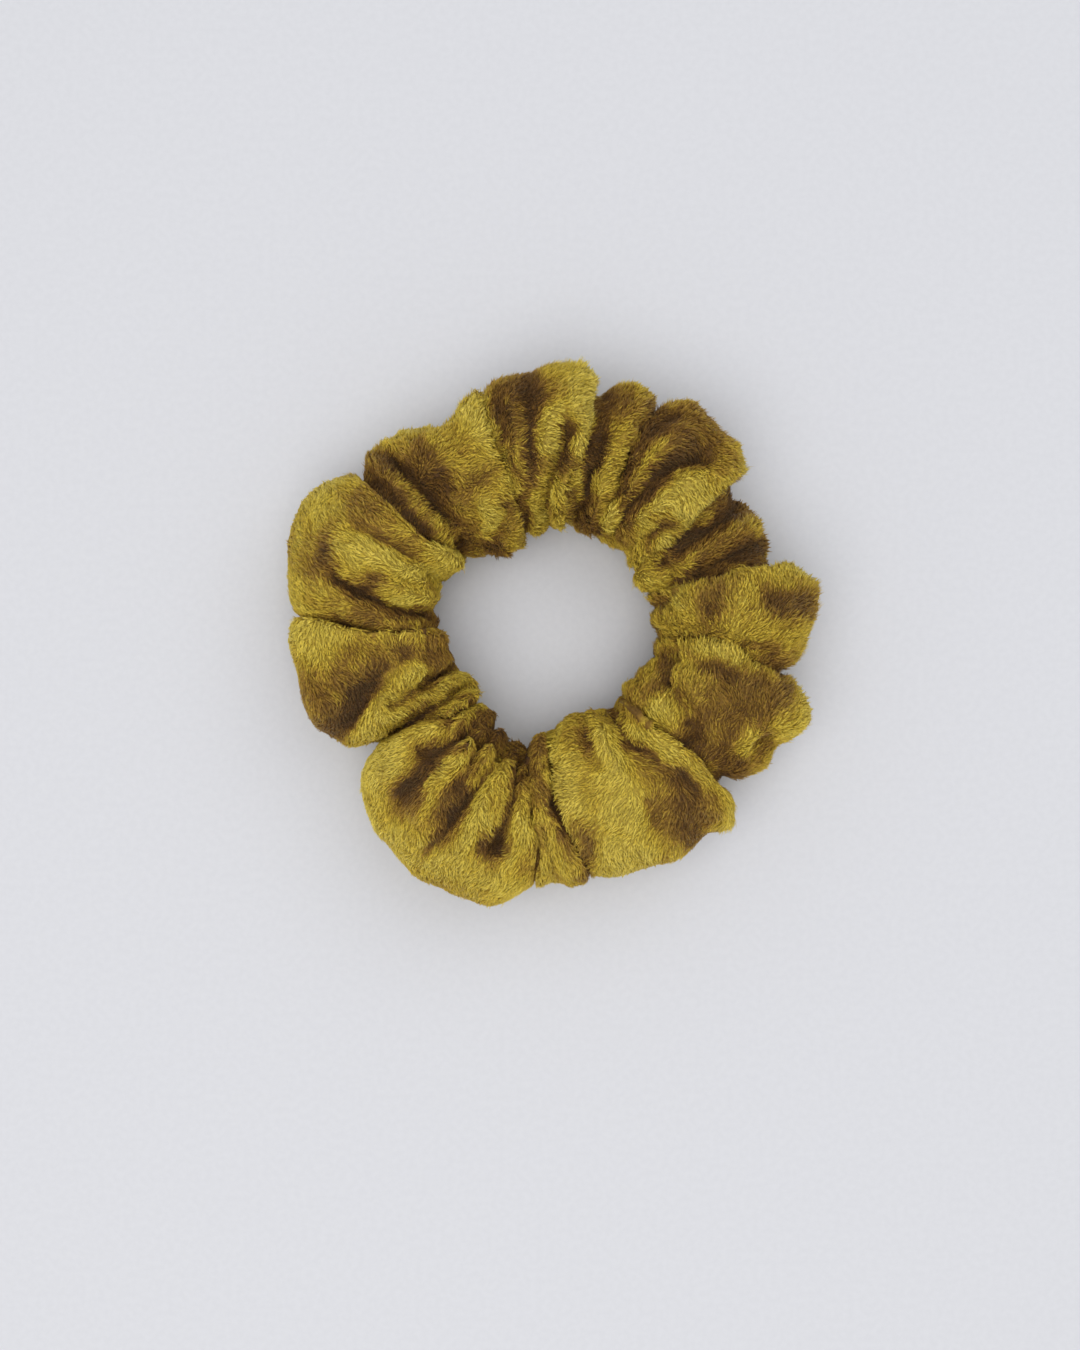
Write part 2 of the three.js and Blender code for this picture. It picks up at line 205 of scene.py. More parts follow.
# How the pile's colour is drawn on the velvet, crushed pile and painted light and shade together:
# (angle, radius, half extent round the ring in degrees, half extent across it in mm, tone). Tone is -1
# where it is crushed to brown or lies in painted shade, 1 where it is brightest under painted light.
TONES_WITH_PAINTED_LIGHT = [
    (7.6, 40, 4.6, 4.2, -0.9), (12, 28.4, 7.5, 3.4, -0.5), (15, 19.6, 4, 1.3, -0.6),
    (17, 36, 2.5, 5, -0.1), (4, 33, 7, 3.2, 0.5), (12, 22.8, 8, 2, 0.4), (13, 41, 2.4, 3, 0.3),
    (1, 39, 3, 3, 0.3), (23, 36, 3, 4.5, -0.9), (24, 27, 2.6, 5, -0.75), (33.8, 33, 3, 7.5, -0.9),
    (35.5, 38.5, 2.5, 2.5, -0.7), (28, 31.5, 4, 2.6, -0.55), (32, 25, 2.5, 3, -0.7),
    (28, 24, 2.2, 3.4, 0.45), (28.8, 37.5, 2.4, 3.5, -0.25), (29, 20, 7, 1.8, 0.5),
    (46, 41.5, 5, 2, -0.5), (53.5, 43.5, 6, 2.6, -0.65), (61, 43.6, 3, 1.6, -0.3),
    (50.5, 38.5, 2.6, 3, -0.8), (54.5, 32.5, 2.2, 5, -0.85), (56.5, 27, 2.6, 4.5, -0.85),
    (61.5, 40, 4.5, 2.6, -0.9), (63.6, 34, 2.2, 6, -0.85), (62.5, 29, 1.8, 3, -0.7),
    (43.4, 25.4, 2.8, 3, -0.75), (43.5, 39.6, 4, 3, -0.5), (55, 21, 3, 2, -0.4),
    (45.5, 32, 5.5, 4, 0.9), (49, 25.5, 3.5, 4, 0.6), (38.5, 23.5, 4, 2.5, 0.5),
    (40.5, 36.5, 1.5, 5, 0.2), (62, 22, 2.5, 2.5, 0.7), (59.5, 31, 1.2, 6, 0.4),
    (71.5, 40, 2.4, 2.2, -0.6), (69.5, 43.6, 4, 1.2, 0.1), (75.5, 33, 2.2, 8, -0.8),
    (76, 24, 1.6, 4, -0.75), (72, 21, 4, 2.2, -0.6), (67, 40, 1.6, 3, -0.5), (69, 19.3, 5, 1, -0.8),
    (79.5, 20.5, 3, 1.4, -0.5), (83.5, 22.5, 2.5, 2, -0.5), (69.5, 28, 2.6, 4, 0.35),
    (70, 36, 3, 3, 0.1), (85.8, 31, 2.4, 4, -0.85), (90, 40.6, 3, 2, -0.6), (96.1, 39.6, 7, 3.2, -0.9),
    (102.2, 37, 2.6, 4.5, -0.85), (95.4, 31.5, 2.6, 5.5, -0.6), (97.5, 26, 2, 3, -0.6),
    (101, 21, 2.4, 2.6, -0.8), (91, 22.5, 1.6, 1.6, -0.5), (88, 43, 3, 1, -0.3), (82, 37, 3.5, 5, 0.7),
    (90, 35, 2.8, 5, 0.8), (88, 24.5, 4, 2, 0.7), (95, 21, 4, 2.5, 0.7), (84, 42.5, 5, 1.8, 0.4),
    (80, 25, 1.8, 2.2, 0.5), (99.8, 31, 1.8, 5.5, 0.3), (99, 37.5, 1.4, 1.4, -0.1),
    (127.5, 33.5, 3.4, 4.5, -0.8), (123, 28, 3.4, 3.5, -0.35), (125.5, 41.4, 5.5, 2.2, 0.45),
    (129.5, 38.5, 2, 2, -0.1), (115, 28.5, 8, 1.8, -0.3), (110, 20.5, 5, 3, -0.3),
    (121, 17, 5, 1.4, -0.85), (127, 24, 2.5, 4, -0.4), (131, 20, 3, 2.5, -0.4),
    (108, 36.5, 3.5, 5, 0.45), (115, 34, 6, 3, 0.05), (118, 30, 6, 3, -0.15), (119, 22.5, 5, 2.5, 0.8),
    (104.6, 27, 1.4, 4, 0.6), (106.6, 36, 1.6, 5, 0.7), (101.6, 30, 1.3, 7, -0.65),
    (112, 40.3, 6, 1, 0.2), (135.5, 40, 2.8, 2, -0.65), (138.6, 34, 1.4, 5.5, -1),
    (132.5, 37, 1.8, 4, -0.7), (134.5, 21, 3, 1.6, -0.7), (138, 26, 1.4, 3, -0.75),
    (131.4, 30, 1.2, 6, -0.7), (134, 25.5, 2, 2.2, 0.3), (145, 37.4, 3.4, 4.2, -0.85),
    (148.5, 36, 3, 2, -0.4), (145.6, 30, 4, 6, -0.4), (161.5, 40.6, 4.6, 2.6, -0.75),
    (155, 38.5, 2.2, 2, -0.25), (163.4, 30.4, 3.8, 1.7, -0.6), (166.6, 33.5, 1.4, 3, -0.75),
    (170.5, 32.5, 3, 3, -0.65), (171.5, 26, 2, 4, -0.7), (172.6, 20.5, 3.4, 3, -0.8),
    (151, 26, 1, 3, -0.3), (176, 31, 1.4, 3, -0.6), (150, 44, 9, 2.2, 0.4), (166, 42.8, 8, 2, 0.6),
    (157, 34, 5, 3.5, 0.85), (154, 25, 3.5, 4, 0.8), (165.5, 25, 3.6, 3.2, 0.9), (144, 21.5, 6, 2, 0.4),
    (171.5, 37, 3, 3, 0.3), (202, 39.6, 4, 2.4, -0.7), (196, 40.2, 5, 2.4, -0.6),
    (190.5, 35.5, 4.5, 2.6, -0.65), (185.5, 26, 4, 4, -0.4), (200.7, 35.6, 2.6, 2.6, -0.9),
    (195.3, 33.3, 3.6, 2.4, -0.9), (197, 36.8, 1.6, 1.4, 0.1), (191, 30.5, 3, 3, -0.8),
    (188.5, 27, 3.4, 4.4, -0.65), (187, 22, 3.6, 2.6, -0.65), (189, 18.4, 12, 1.5, -0.85),
    (185, 34, 3, 2, -0.2), (200, 21.2, 3, 1.5, -0.55), (210.5, 25, 1.3, 4.5, -0.6),
    (178.5, 40, 3, 3, 0.6), (183, 37, 5, 3, 0.4), (196, 25.5, 5, 3, 0.6), (203, 31, 3, 2.5, 0.6),
    (207.5, 33, 3, 4, 0.6), (207, 22, 3, 6, 0.5), (205, 18, 4, 1.8, 0.5), (228, 34.2, 3.6, 4.8, -0.85),
    (227.6, 26, 4.2, 4.2, -0.7), (223, 28.5, 3, 1.8, -0.6), (230.8, 21.5, 2.2, 2.8, -0.8),
    (226, 18, 3.4, 2.4, 0.5), (240.8, 31.4, 3.6, 3.6, -0.75), (240.8, 39.5, 1.2, 4.5, -0.5),
    (244, 34, 1.2, 4, -0.4), (254.8, 36.6, 4.2, 2.4, -0.85), (257, 32.5, 1, 3, -0.5),
    (246, 19, 13, 1.7, -0.85), (256, 22.5, 1.6, 2.6, -0.7), (263.5, 21.5, 4, 2.8, -0.5),
    (264, 27, 3, 3, -0.2), (221, 19, 1.2, 5, -0.6), (234.5, 16.6, 3.5, 2, -0.7),
    (268.6, 28, 1.6, 3, -0.6), (218, 33, 5, 5, 0.9), (224, 41, 8, 2, 0.8), (245, 42.5, 16, 2.5, 0.75),
    (233.3, 28, 1.5, 7, 0.6), (215.5, 21, 2.2, 4.5, 0.4), (223, 22, 2, 5, 0.5), (248, 33, 2.6, 8, 0.75),
    (253, 28, 2, 4, 0.4), (260.5, 36, 2.5, 5, 0.65), (242.3, 26.5, 1.5, 2.5, 0.5),
    (273.5, 34, 1.2, 5, -0.75), (277.6, 40.5, 1, 1.6, -0.4), (270.8, 28.5, 1.4, 2.5, -0.8),
    (271.5, 38, 2.6, 4.5, 0.7), (267.5, 32, 2, 3, 0.3), (280.6, 36, 2.2, 2.8, -0.6),
    (279, 32.5, 2, 1.5, -0.4), (290, 19.5, 2.8, 3, -0.6), (284, 18, 4, 1.5, -0.35),
    (308, 37, 5.6, 4.6, -0.9), (311, 32.4, 3.6, 3.4, -0.95), (305.5, 33.5, 3, 3, -0.65),
    (307.6, 24, 2.4, 4, -0.7), (307.4, 18, 2, 3, -0.85), (302, 36, 3, 2, -0.3), (303, 29, 2, 4, -0.2),
    (276, 27, 5, 4, 0.5), (287, 40, 6, 3, 0.5), (293, 31, 5, 7, 0.8), (297, 23, 4.5, 3.5, 0.8),
    (280, 23, 7, 3, 0.4), (314.5, 25, 3.5, 4, 0.5), (317, 38, 1.8, 5, 0.2), (274, 18, 5, 2, 0.4),
    (323.5, 37.5, 3, 2.2, -0.85), (325, 32.5, 4.5, 4, -0.5), (325.5, 28.8, 3, 2.2, -0.1),
    (333, 32.5, 6, 3.5, -0.55), (331.6, 40, 2.8, 1, -0.3), (344, 38, 5, 4, -0.9),
    (348, 30.5, 3.4, 5, -0.75), (337, 27.5, 6, 3, -0.35), (345, 19.2, 8, 1.3, -0.85),
    (318.6, 18.8, 3.4, 2.2, -0.4), (332.6, 19, 2.4, 1.6, -0.45), (352.5, 22.5, 2, 3, -0.55),
    (331, 37.4, 4.5, 1.2, 0.65), (337.5, 42.6, 4, 1.6, 0.3), (340, 34, 6, 4, -0.6),
    (327, 24.2, 4.5, 2.4, 0.8), (347, 43.3, 3, 1.2, 0.2), (344, 24, 5, 3, 0.2),
    (354.5, 28.5, 3, 4.5, 0.65), (354.5, 37.5, 1.8, 3, -0.6), (356.8, 33.5, 1.4, 2, -0.5),
    (0.5, 18.4, 4, 1.2, -0.5),
]

# ---------------------------------------------------------------- the pile's driving sizes
CLUMPS = 84_000
TUFTS_IN_CLUMP = 5
PILE_SECTORS = 24
PILE_LENGTH = (0.95, 1.5)
CLUMP_SPREAD = (0.36, 0.14)  # along the way the pile leans, and across it
TUFT_WIDTH = 0.148
LONG_TUFTS = (9.5, 41.0, 84.0, 88.0, 314.0)  # where the longest tufts stand out past the rim
HIDDEN_DEPTH = 4.6  # no pile is made deeper in a crease than this
ROOT_DEPTH = 0.15
SHAGGY_SIDE = 55.0  # the pile stands up most on this side of the ring
# The way the pile leans on each puff, from the closing seam on: 0 is anticlockwise round the
# ring and 90 is outwards.
LEANS = (10.0, 75.0, 60.0, 125.0, 5.0, 15.0, 120.0, 150.0, 165.0, 170.0, 175.0, 110.0)


# ---------------------------------------------------------------- small numeric helpers
RIPPLE_WAVES = 28
OUTLINE_STEP = 0.25
OUTLINE_REACH = 24  # in steps


def smooth(x, low, high):
    """0 below low, 1 above high, eased between."""
    t = np.clip((x - low) / (high - low), 0.0, 1.0)
    return t * t * (3.0 - 2.0 * t)


def turn(angle):
    """An angle between -180 and 180."""
    return (angle + 180.0) % 360.0 - 180.0


def unit(v):
    """Vectors of the same direction, 1 long."""
    return v / np.maximum(np.linalg.norm(v, axis=-1, keepdims=True), 1e-12)


def ripple(points, size, seed):
    """Smooth seeded noise, about -1 to 1, with features of about this size."""
    rng = np.random.default_rng(seed)
    ways = unit(rng.normal(size=(RIPPLE_WAVES, 3)))
    pace = rng.uniform(0.6, 1.5, RIPPLE_WAVES) * (math.pi / size)
    start = rng.uniform(0.0, 2.0 * math.pi, RIPPLE_WAVES)
    total = np.zeros(points.shape[:-1])
    for way, speed, phase in zip(ways, pace, start):
        total += np.cos(points @ (way * speed) + phase)
    return total / math.sqrt(RIPPLE_WAVES * 0.5) * 0.6


def polar(points):
    """The angle in degrees and the radius of each point, seen from above."""
    x, y = points[..., 0], points[..., 1]
    return np.degrees(np.arctan2(y, x)), np.hypot(x, y)


def seen_from_above(points):
    """Where points look to be on the ring, as x and y in mm."""
    return points[..., :2] * (EYE / (EYE + MID_HEIGHT - points[..., 2:3]))


def course_points(course):
    """An (angle, radius) course as x and y."""
    turned = np.radians([p[0] for p in course])
    radius = np.array([p[1] for p in course])
    return np.stack([radius * np.cos(turned), radius * np.sin(turned)], axis=-1)


def distance_to(course, seen):
    """The distance from each seen point to a course."""
    line = course_points(course)
    best = np.full(seen.shape[:-1], np.inf)
    for start, end in zip(line, line[1:]):
        way = end - start
        part = np.clip(((seen - start) @ way) / (way @ way), 0.0, 1.0)
        best = np.minimum(best, np.linalg.norm(seen - start - part[..., None] * way, axis=-1))
    return best


class Outline:
    """A closed curve given as (angle, value) points, slightly rounded."""

    def __init__(self, points, rounding):
        self.fine = np.arange(0.0, 360.0, OUTLINE_STEP)
        angles = np.array([p[0] % 360.0 for p in points])
        values = np.array([p[1] for p in points])
        order = np.argsort(angles)
        raw = np.interp(self.fine, angles[order], values[order], period=360.0)
        reach = np.arange(-OUTLINE_REACH, OUTLINE_REACH + 1)
        weights = np.exp(-0.5 * (reach * OUTLINE_STEP / rounding) ** 2)
        weights /= weights.sum()
        self.values = sum(w * np.roll(raw, k) for k, w in zip(reach, weights))

    def __call__(self, angle):
        return np.interp(np.asarray(angle) % 360.0, self.fine, self.values, period=360.0)


rim = Outline(RIM, 0.6)
hole = Outline(HOLE, 1.2)
crest = Outline(CREST, 1.0)


# ---------------------------------------------------------------- the cover's shape
def section_point(angle, phi, depth):
    """Points of the tube `depth` inside its outer face."""
    outer = rim(angle) - PILE_RISE
    inner = hole(angle) + PILE_RISE
    top = crest(angle) - PILE_RISE
    half_width = (outer - inner) / 2.0
    half_height = top / 2.0 + 0.4
    cos = np.cos(np.radians(phi))
    sin = np.sin(np.radians(phi))
    power = 2.0 / SECTION_POWER
    across = np.sign(cos) * np.abs(cos) ** power
    up = np.sign(sin) * np.abs(sin) ** power
    radius = (outer + inner) / 2.0 + (half_width - depth) * across
    height = top - half_height + (half_height - depth) * up
    ground = PRESSED + 0.75 * depth
    low = np.minimum(height - ground - PRESS_ROUNDING, 0.0)
    pressed = ground + PRESS_ROUNDING * np.exp(low / PRESS_ROUNDING)
    height = np.where(height < ground + PRESS_ROUNDING, pressed, height)
    turned = np.radians(angle)
    return np.stack([radius * np.cos(turned), radius * np.sin(turned), height], axis=-1)


def across_section(phi):
    """How far over towards the hole, and how far down the underside, each 0 to 1."""
    cos = np.cos(np.radians(phi))
    inward = (1.0 - np.sign(cos) * np.abs(cos) ** (2.0 / SECTION_POWER)) / 2.0
    under = np.clip(-np.sin(np.radians(phi)), 0.0, 1.0)
    return inward, under


def row_angles():
    """The rows' places on the tube's section, closer together on the upper side."""
    fine = np.linspace(SEAM_AT + 1.2, SEAM_AT + 358.8, 721)
    passed = np.cumsum(1.0 + 0.6 * (np.sin(np.radians(fine)) > 0.0))
    return np.interp(np.linspace(passed[0], passed[-1], ROWS), passed, fine)


def columns():
    """The puff that each column of the cloth is on, and its place across it, -1 to 1."""
    widths = []
    for before, after in zip(CREASES, CREASES[1:] + CREASES[:1]):
        width = math.radians((after[4][0][0] - before[4][0][0]) % 360.0) * MEAN_RADIUS
        widths.append(width + 0.8 * (before[0] + after[0]))
    counts = np.maximum(14, np.round(COLUMNS * np.array(widths) / sum(widths))).astype(int)
    puff = np.concatenate([np.full(n, k) for k, n in enumerate(counts)])
    place = np.concatenate([np.linspace(-1.0, 1.0, n) for n in counts])
    return puff, place


def across_puff(place, half_width, depth, shoulder):
    """A puff's outline from its middle (place 0) to the bottom of its crease (place 1).

    It is level, turns down round the shoulder, then drops straight into the crease.
    """
    shoulder = np.minimum(np.minimum(shoulder, 0.9 * half_width), depth)
    level = half_width - shoulder
    bend = shoulder * (math.pi / 2.0)
    drop = depth - shoulder
    run = place * (level + bend + drop)
    swing = np.clip((run - level) / np.maximum(shoulder, 1e-6), 0.0, math.pi / 2.0)
    aside = np.minimum(run, level) + shoulder * np.sin(swing)
    down = shoulder * (1.0 - np.cos(swing)) + np.clip(run - level - bend, 0.0, None)
    crown = 1.2 * smooth(half_width, 3.0, 14.0) * (np.minimum(run, level) / half_width) ** 2
    return aside, down + crown


def pleats(phase, sharp):
    """Rounded ridges with sharp valleys, 0 on the ridges and 1 in the valleys."""
    return 1.0 - np.abs(np.sin(math.pi * phase)) ** sharp


def uneven_phase(count, total, seed):
    """A steadily rising phase over the columns, with pleats of uneven width."""
    rng = np.random.default_rng(seed)
    widths = rng.uniform(0.55, 1.45, total)
    kernel = np.hanning(9)
    widths = np.convolve(np.pad(widths, 4, mode="wrap"), kernel / kernel.sum(), mode="valid")
    phase = np.cumsum(widths)
    return phase / phase[-1] * count


def fold_depth(seen):
    """How far the smaller folds lower the upper side at these places."""
    total = np.zeros(seen.shape[:-1])
    for depth, width, course in FOLDS:
        off = distance_to(course, seen) / width
        banks = 0.25 * np.exp(-((off - 2.3) ** 2) / 0.8)
        total = total + depth * (np.exp(-(off**1.4)) - banks)
    return total


def ledge_depth(seen):
    """The step down to the flap behind the folded-over edge."""
    angle = np.degrees(np.arctan2(seen[..., 1], seen[..., 0])) % 360.0
    angles = np.array([p[0] for p in LEDGE])
    edge = np.interp(angle, angles, [p[1] for p in LEDGE])
    ends = smooth(angle, angles[0] - 1.0, angles[0] + 3.0)
    ends = ends * (1.0 - smooth(angle, angles[-1] - 3.0, angles[-1] + 1.0))
    beyond = np.linalg.norm(seen, axis=-1) - edge
    step = smooth(beyond, -0.2, 0.7) * (1.0 - smooth(beyond, 1.4, 4.5))
    return LEDGE_DEPTH * ends * step


def crease_angles(which, phi, middle, drift):
    """The angle that each column's crease passes each row at."""
    count = len(which)
    rows = section_point(middle[:, None], phi[None], 0.0)
    radius = np.linalg.norm(seen_from_above(rows), axis=-1)
    inward, under = across_section(phi)
    above = np.zeros((count, len(phi)))
    below = np.zeros((count, len(phi)))
    for k, crease in enumerate(CREASES):
        chosen = which == k
        course = crease[4]
        radii = np.array([-p[1] for p in course])
        angles = np.array([p[0] for p in course])
        above[chosen] = np.interp(-radius[chosen], radii, angles)
        wander = drift[k] * under + 1.4 * np.sin(4.0 * under + 1.7 * k) * under
        below[chosen] = angles[0] + (angles[-1] - angles[0]) * inward + wander
    return np.where(np.sin(np.radians(phi)) > 0.0, above, below)


def cover_grid():
    """The cloth's outer face as a grid of points [column, row, xyz].

    With it come the depth below the puffs' tops, and the lips where one puff folds over the next.
    """
    puff, place = columns()
    phi = row_angles()
    after_puff = (puff + 1) % len(CREASES)
    depths = np.array([crease[0] for crease in CREASES])
    shoulders = np.array([crease[1:3] for crease in CREASES])
    tucks = np.array([crease[3] for crease in CREASES])
    rim_angles = np.array([crease[4][0][0] for crease in CREASES])
    drift = np.random.default_rng(11).uniform(-2.2, 2.2, len(CREASES))
    inward, under = across_section(phi)
    side = place[:, None] > 0

    def beside(before, after):
        """Each point's value from the crease on its own side of the puff."""
        return np.where(side, after[after_puff][:, None], before[puff][:, None])

    rough_middle = rim_angles[puff] + ((rim_angles[after_puff] - rim_angles[puff]) % 360.0) / 2.0
    low = crease_angles(puff, phi, rough_middle, drift)
    high = crease_angles(after_puff, phi, rough_middle, drift)
    high = low + (high - low) % 360.0
    middle = (low + high) / 2.0
    half_angle = (high - low) / 2.0
    flat = np.broadcast_to(phi, middle.shape)
    surface = section_point(middle, flat, 0.0)
    half_width = np.radians(half_angle) * polar(surface)[1]

    shallow = 1.0 - 0.5 * smooth(inward, 0.45, 1.0) - 0.35 * under
    left = np.array([FADING.get(k, 1.0) for k in range(len(CREASES))])
    left = beside(left, left)
    depth = beside(depths, depths) * shallow
    depth = depth * (left + (1.0 - left) * smooth(inward, 0.04, 0.3))
    shoulder = beside(shoulders[:, 1], shoulders[:, 0])
    rounding = shoulder * (0.65 + 0.35 * shallow)
    aside, down = across_puff(np.abs(place)[:, None], half_width, depth, rounding)
    aside = aside - 0.15 * smooth(down, 0.5, 2.5)
    tuck = beside(tucks, tucks) * (1.0 - under)
    tucked = tuck * down * smooth(np.abs(place), 0.3, 0.8)[:, None]
    angle = middle + (np.sign(place)[:, None] * aside + tucked) / half_width * half_angle

    gather = smooth(inward, 0.42, 0.98) * (1.0 - 0.35 * under)
    phase = uneven_phase(PLEATS, len(puff), 5)[:, None]
    fine = uneven_phase(FINE_PLEATS, len(puff), 6)[:, None]
    spread = section_point(angle, flat, down)
    uneven = 0.75 + 0.45 * ripple(spread, 9.0, 21)
    lowered = gather * (1.05 * pleats(phase, 0.75) * uneven + 0.25 * pleats(fine, 0.9))
    upper = smooth(np.sin(np.radians(flat)), -0.1, 0.25)
    # The lips get a painted highlight in the pile's tone.
    lip = np.exp(-(((down - 0.5) / 0.5) ** 2)) * (1.0 - smooth(shoulder, 1.6, 2.4)) * upper
    seen = seen_from_above(spread)
    lowered = lowered + upper * (fold_depth(seen) + ledge_depth(seen))
    lowered = lowered + 0.42 * ripple(spread, 8.0, 31) + 0.2 * ripple(spread, 3.0, 32)
    points = section_point(angle, flat, down + lowered)
    return clear_of_elastic(points, inward), down, lip


def elastic_section(margin):
    """The lowest and highest (radius, z) of the elastic, this much bigger all round."""
    band = np.array([corner.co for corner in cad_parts["elastic_band"].data.vertices]) / MM
    section = np.stack([polar(band)[1], band[:, 2]], axis=-1)
    return section.min(axis=0) - margin, section.max(axis=0) + margin


def clear_of_elastic(points, inward):
    """Keeps the cloth at the hole on its own side of the elastic."""
    (limit, low), (_, high) = elastic_section(CLOTH_THICK + ELASTIC_CLEARANCE)
    radius = polar(points)[1]
    eased = limit - 0.8 + 0.8 * np.tanh(np.maximum(radius - limit + 0.8, 0.0) / 0.8)
    height = points[..., 2]
    beside = smooth(height, low - 2.0, low) * (1.0 - smooth(height, high, high + 2.0))
    beside = beside * smooth(inward, 0.5, 0.6)
    pulled = np.where(radius > limit - 0.8, radius + (eased - radius) * beside, radius)
    held = points.copy()
    held[..., :2] *= (pulled / radius)[..., None]
    return held


TENT_SPARE = 0.6
TENT_OUTER_SLOPE = 1.5
TENT_INNER_SLOPE = 5.0
TENT_EASE = 0.2


def round_the_elastic(points):
    """Lays the bottoms of the creases over and under the elastic, like a tent."""
    (inside, low), (outside, high) = elastic_section(CLOTH_THICK + ELASTIC_CLEARANCE)
    middle = (low + high) / 2.0
    radius = polar(points)[1]
    side = np.where(np.sin(np.radians(row_angles())) > 0.0, 1.0, -1.0)
    away = (points[..., 2] - middle) * side
    tent = high + TENT_SPARE - middle - TENT_OUTER_SLOPE * np.maximum(radius - outside, 0.0)
    tent = tent - TENT_INNER_SLOPE * np.maximum(inside - radius, 0.0)
    short = TENT_EASE * np.logaddexp(0.0, (tent - away) / TENT_EASE)
    moved = points.copy()
    moved[..., 2] += side * short
    return moved


def grid_normals(points):
    """Outward unit normals of a grid [column, row, xyz]."""
    along = np.gradient(points, axis=0)
    round_it = np.gradient(points, axis=1)
    return unit(np.cross(along, round_it))


def blurred(points):
    """The grid with its small folds smoothed out."""
    for _ in range(BLUR_STEPS):
        points = (np.roll(points, 1, axis=0) + 2.0 * points + np.roll(points, -1, axis=0)) / 4.0
        padded = np.concatenate([points[:, :1], points, points[:, -1:]], axis=1)
        points = (padded[:, :-2] + 2.0 * padded[:, 1:-1] + padded[:, 2:]) / 4.0
    return points


def relief(points, normals):
    """How far each point stands above (+) or lies below (-) the cloth round it, in mm."""
    return np.sum((points - blurred(points)) * normals, axis=-1)


def pile_normals(points, normals):
    """The cloth's normals, except where the gathers at the hole fold it over on itself."""
    soft = grid_normals(blurred(points))
    angle, radius = polar(points)
    from_hole = radius - hole(angle)
    folded = (np.sum(soft * normals, axis=-1) < 0.15) & (from_hole < 8.0)
    return np.where(folded[..., None], soft, normals)


def lengthwise_seam(points):
    """The lengthwise seam's line, and the ways into the tube and across the seam."""
    middle = points.mean(axis=1)
    first = points[:, 0]
    last = points[:, -1]
    seam = (first + last) / 2.0
    inward = unit(middle + np.array([0.0, 0.0, 2.0]) - seam)
    return seam, inward, unit(first - last)


def allowance_depth(seam, inward):
    """How far in the seam's allowance reaches: less where a crease lifts it near the elastic."""
    low = elastic_section(CLOTH_THICK + ELASTIC_CLEARANCE)[0][1]
    room = (low - seam[:, 2]) / np.maximum(inward[:, 2], 0.3)
    return np.clip(room, 0.6, SEAM_ALLOWANCE)[:, None]


def with_allowances(points):
    """Adds the lengthwise seam's turned-in edges as rows before the first and after the last."""
    seam, inward, aside = lengthwise_seam(points)
    deep = allowance_depth(seam, inward)
    rows_before = []
    rows_after = []
    for k in range(1, ALLOWANCE_ROWS + 1):
        reach = inward * deep * (k / ALLOWANCE_ROWS)
        rows_before.insert(0, seam + reach + aside * SEAM_GAP / 2.0)
        rows_after.append(seam + reach - aside * SEAM_GAP / 2.0)
    before = np.stack(rows_before, axis=1)
    after = np.stack(rows_after, axis=1)
    return np.concatenate([before, points, after], axis=1)


# ---------------------------------------------------------------- meshes
def new_mesh(name, points, faces):
    """A smooth-shaded object from points in mm and an array of faces with equal corners."""
    faces = np.asarray(faces, np.int32)
    mesh = bpy.data.meshes.new(name)
    mesh.vertices.add(len(points))
    metres = (np.asarray(points, np.float64) * MM).astype(np.float32)
    mesh.vertices.foreach_set("co", metres.ravel())
    corners = faces.shape[1]
    mesh.loops.add(faces.size)
    mesh.loops.foreach_set("vertex_index", faces.ravel())
    mesh.polygons.add(len(faces))
    starts = np.arange(0, faces.size, corners, dtype=np.int32)
    mesh.polygons.foreach_set("loop_start", starts)
    mesh.update(calc_edges=True)
    mesh.validate()
    mesh.polygons.foreach_set("use_smooth", np.ones(len(faces), bool))
    thing = bpy.data.objects.new(name, mesh)
    bpy.context.scene.collection.objects.link(thing)
    return thing


def paint(thing, colors):
    """Stores the pile's tone, shade and height at each corner of the mesh; these carry painted light and
    shade.
    """
    layer = thing.data.color_attributes.new("pile", "FLOAT_COLOR", "POINT")
    layer.data.foreach_set("color", np.asarray(colors, np.float32).ravel())


def grid_faces(columns_count, rows_count, first=0):
    column, row = np.meshgrid(
        np.arange(columns_count - 1), np.arange(rows_count - 1), indexing="ij"
    )
    here = first + column * rows_count + row
    quads = np.stack([here, here + rows_count, here + rows_count + 1, here + 1], axis=-1)
    return quads.reshape(-1, 4)


def two_sided(points, normals, thick):
    """A sheet of real thickness: the grid, its inner face and the four raw edges."""
    count, rows = points.shape[:2]
    outside = points.reshape(-1, 3)
    inside = (points - normals * thick).reshape(-1, 3)
    offset = len(outside)
    top = grid_faces(count, rows)
    bottom = grid_faces(count, rows, offset)[:, ::-1]
    index = np.arange(count * rows).reshape(count, rows)
    edge = np.concatenate([index[:, 0], index[-1, 1:], index[-2::-1, -1], index[0, -2:0:-1]])
    after = np.roll(edge, -1)
    sides = np.stack([edge, edge + offset, after + offset, after], axis=-1)
    return np.concatenate([outside, inside]), np.concatenate([top, bottom, sides])


# ---------------------------------------------------------------- the cloth settles
SIM_SCALE = 20.0  # the simulation runs on a copy this much bigger than life
SIM_FRAMES = 14
SIM_LOOSE = 0.045  # how much longer than its place the cloth is, so that it wrinkles
PIN_LEVELS = 10
SETTLE_LIMIT = 0.7
SWELL = 0.45  # the simulation starts from a cover this much smaller
CLOTH_SETTINGS = {
    "quality": 5,
    "mass": 0.01,
    "tension_stiffness": 12.0,
    "compression_stiffness": 12.0,
    "shear_stiffness": 4.0,
    "bending_stiffness": 0.4,
    "air_damping": 2.0,
    "shrink_min": -SIM_LOOSE,
    "vertex_group_mass": "pins",
    "use_pressure": True,
    "uniform_pressure_force": 4.0,
}


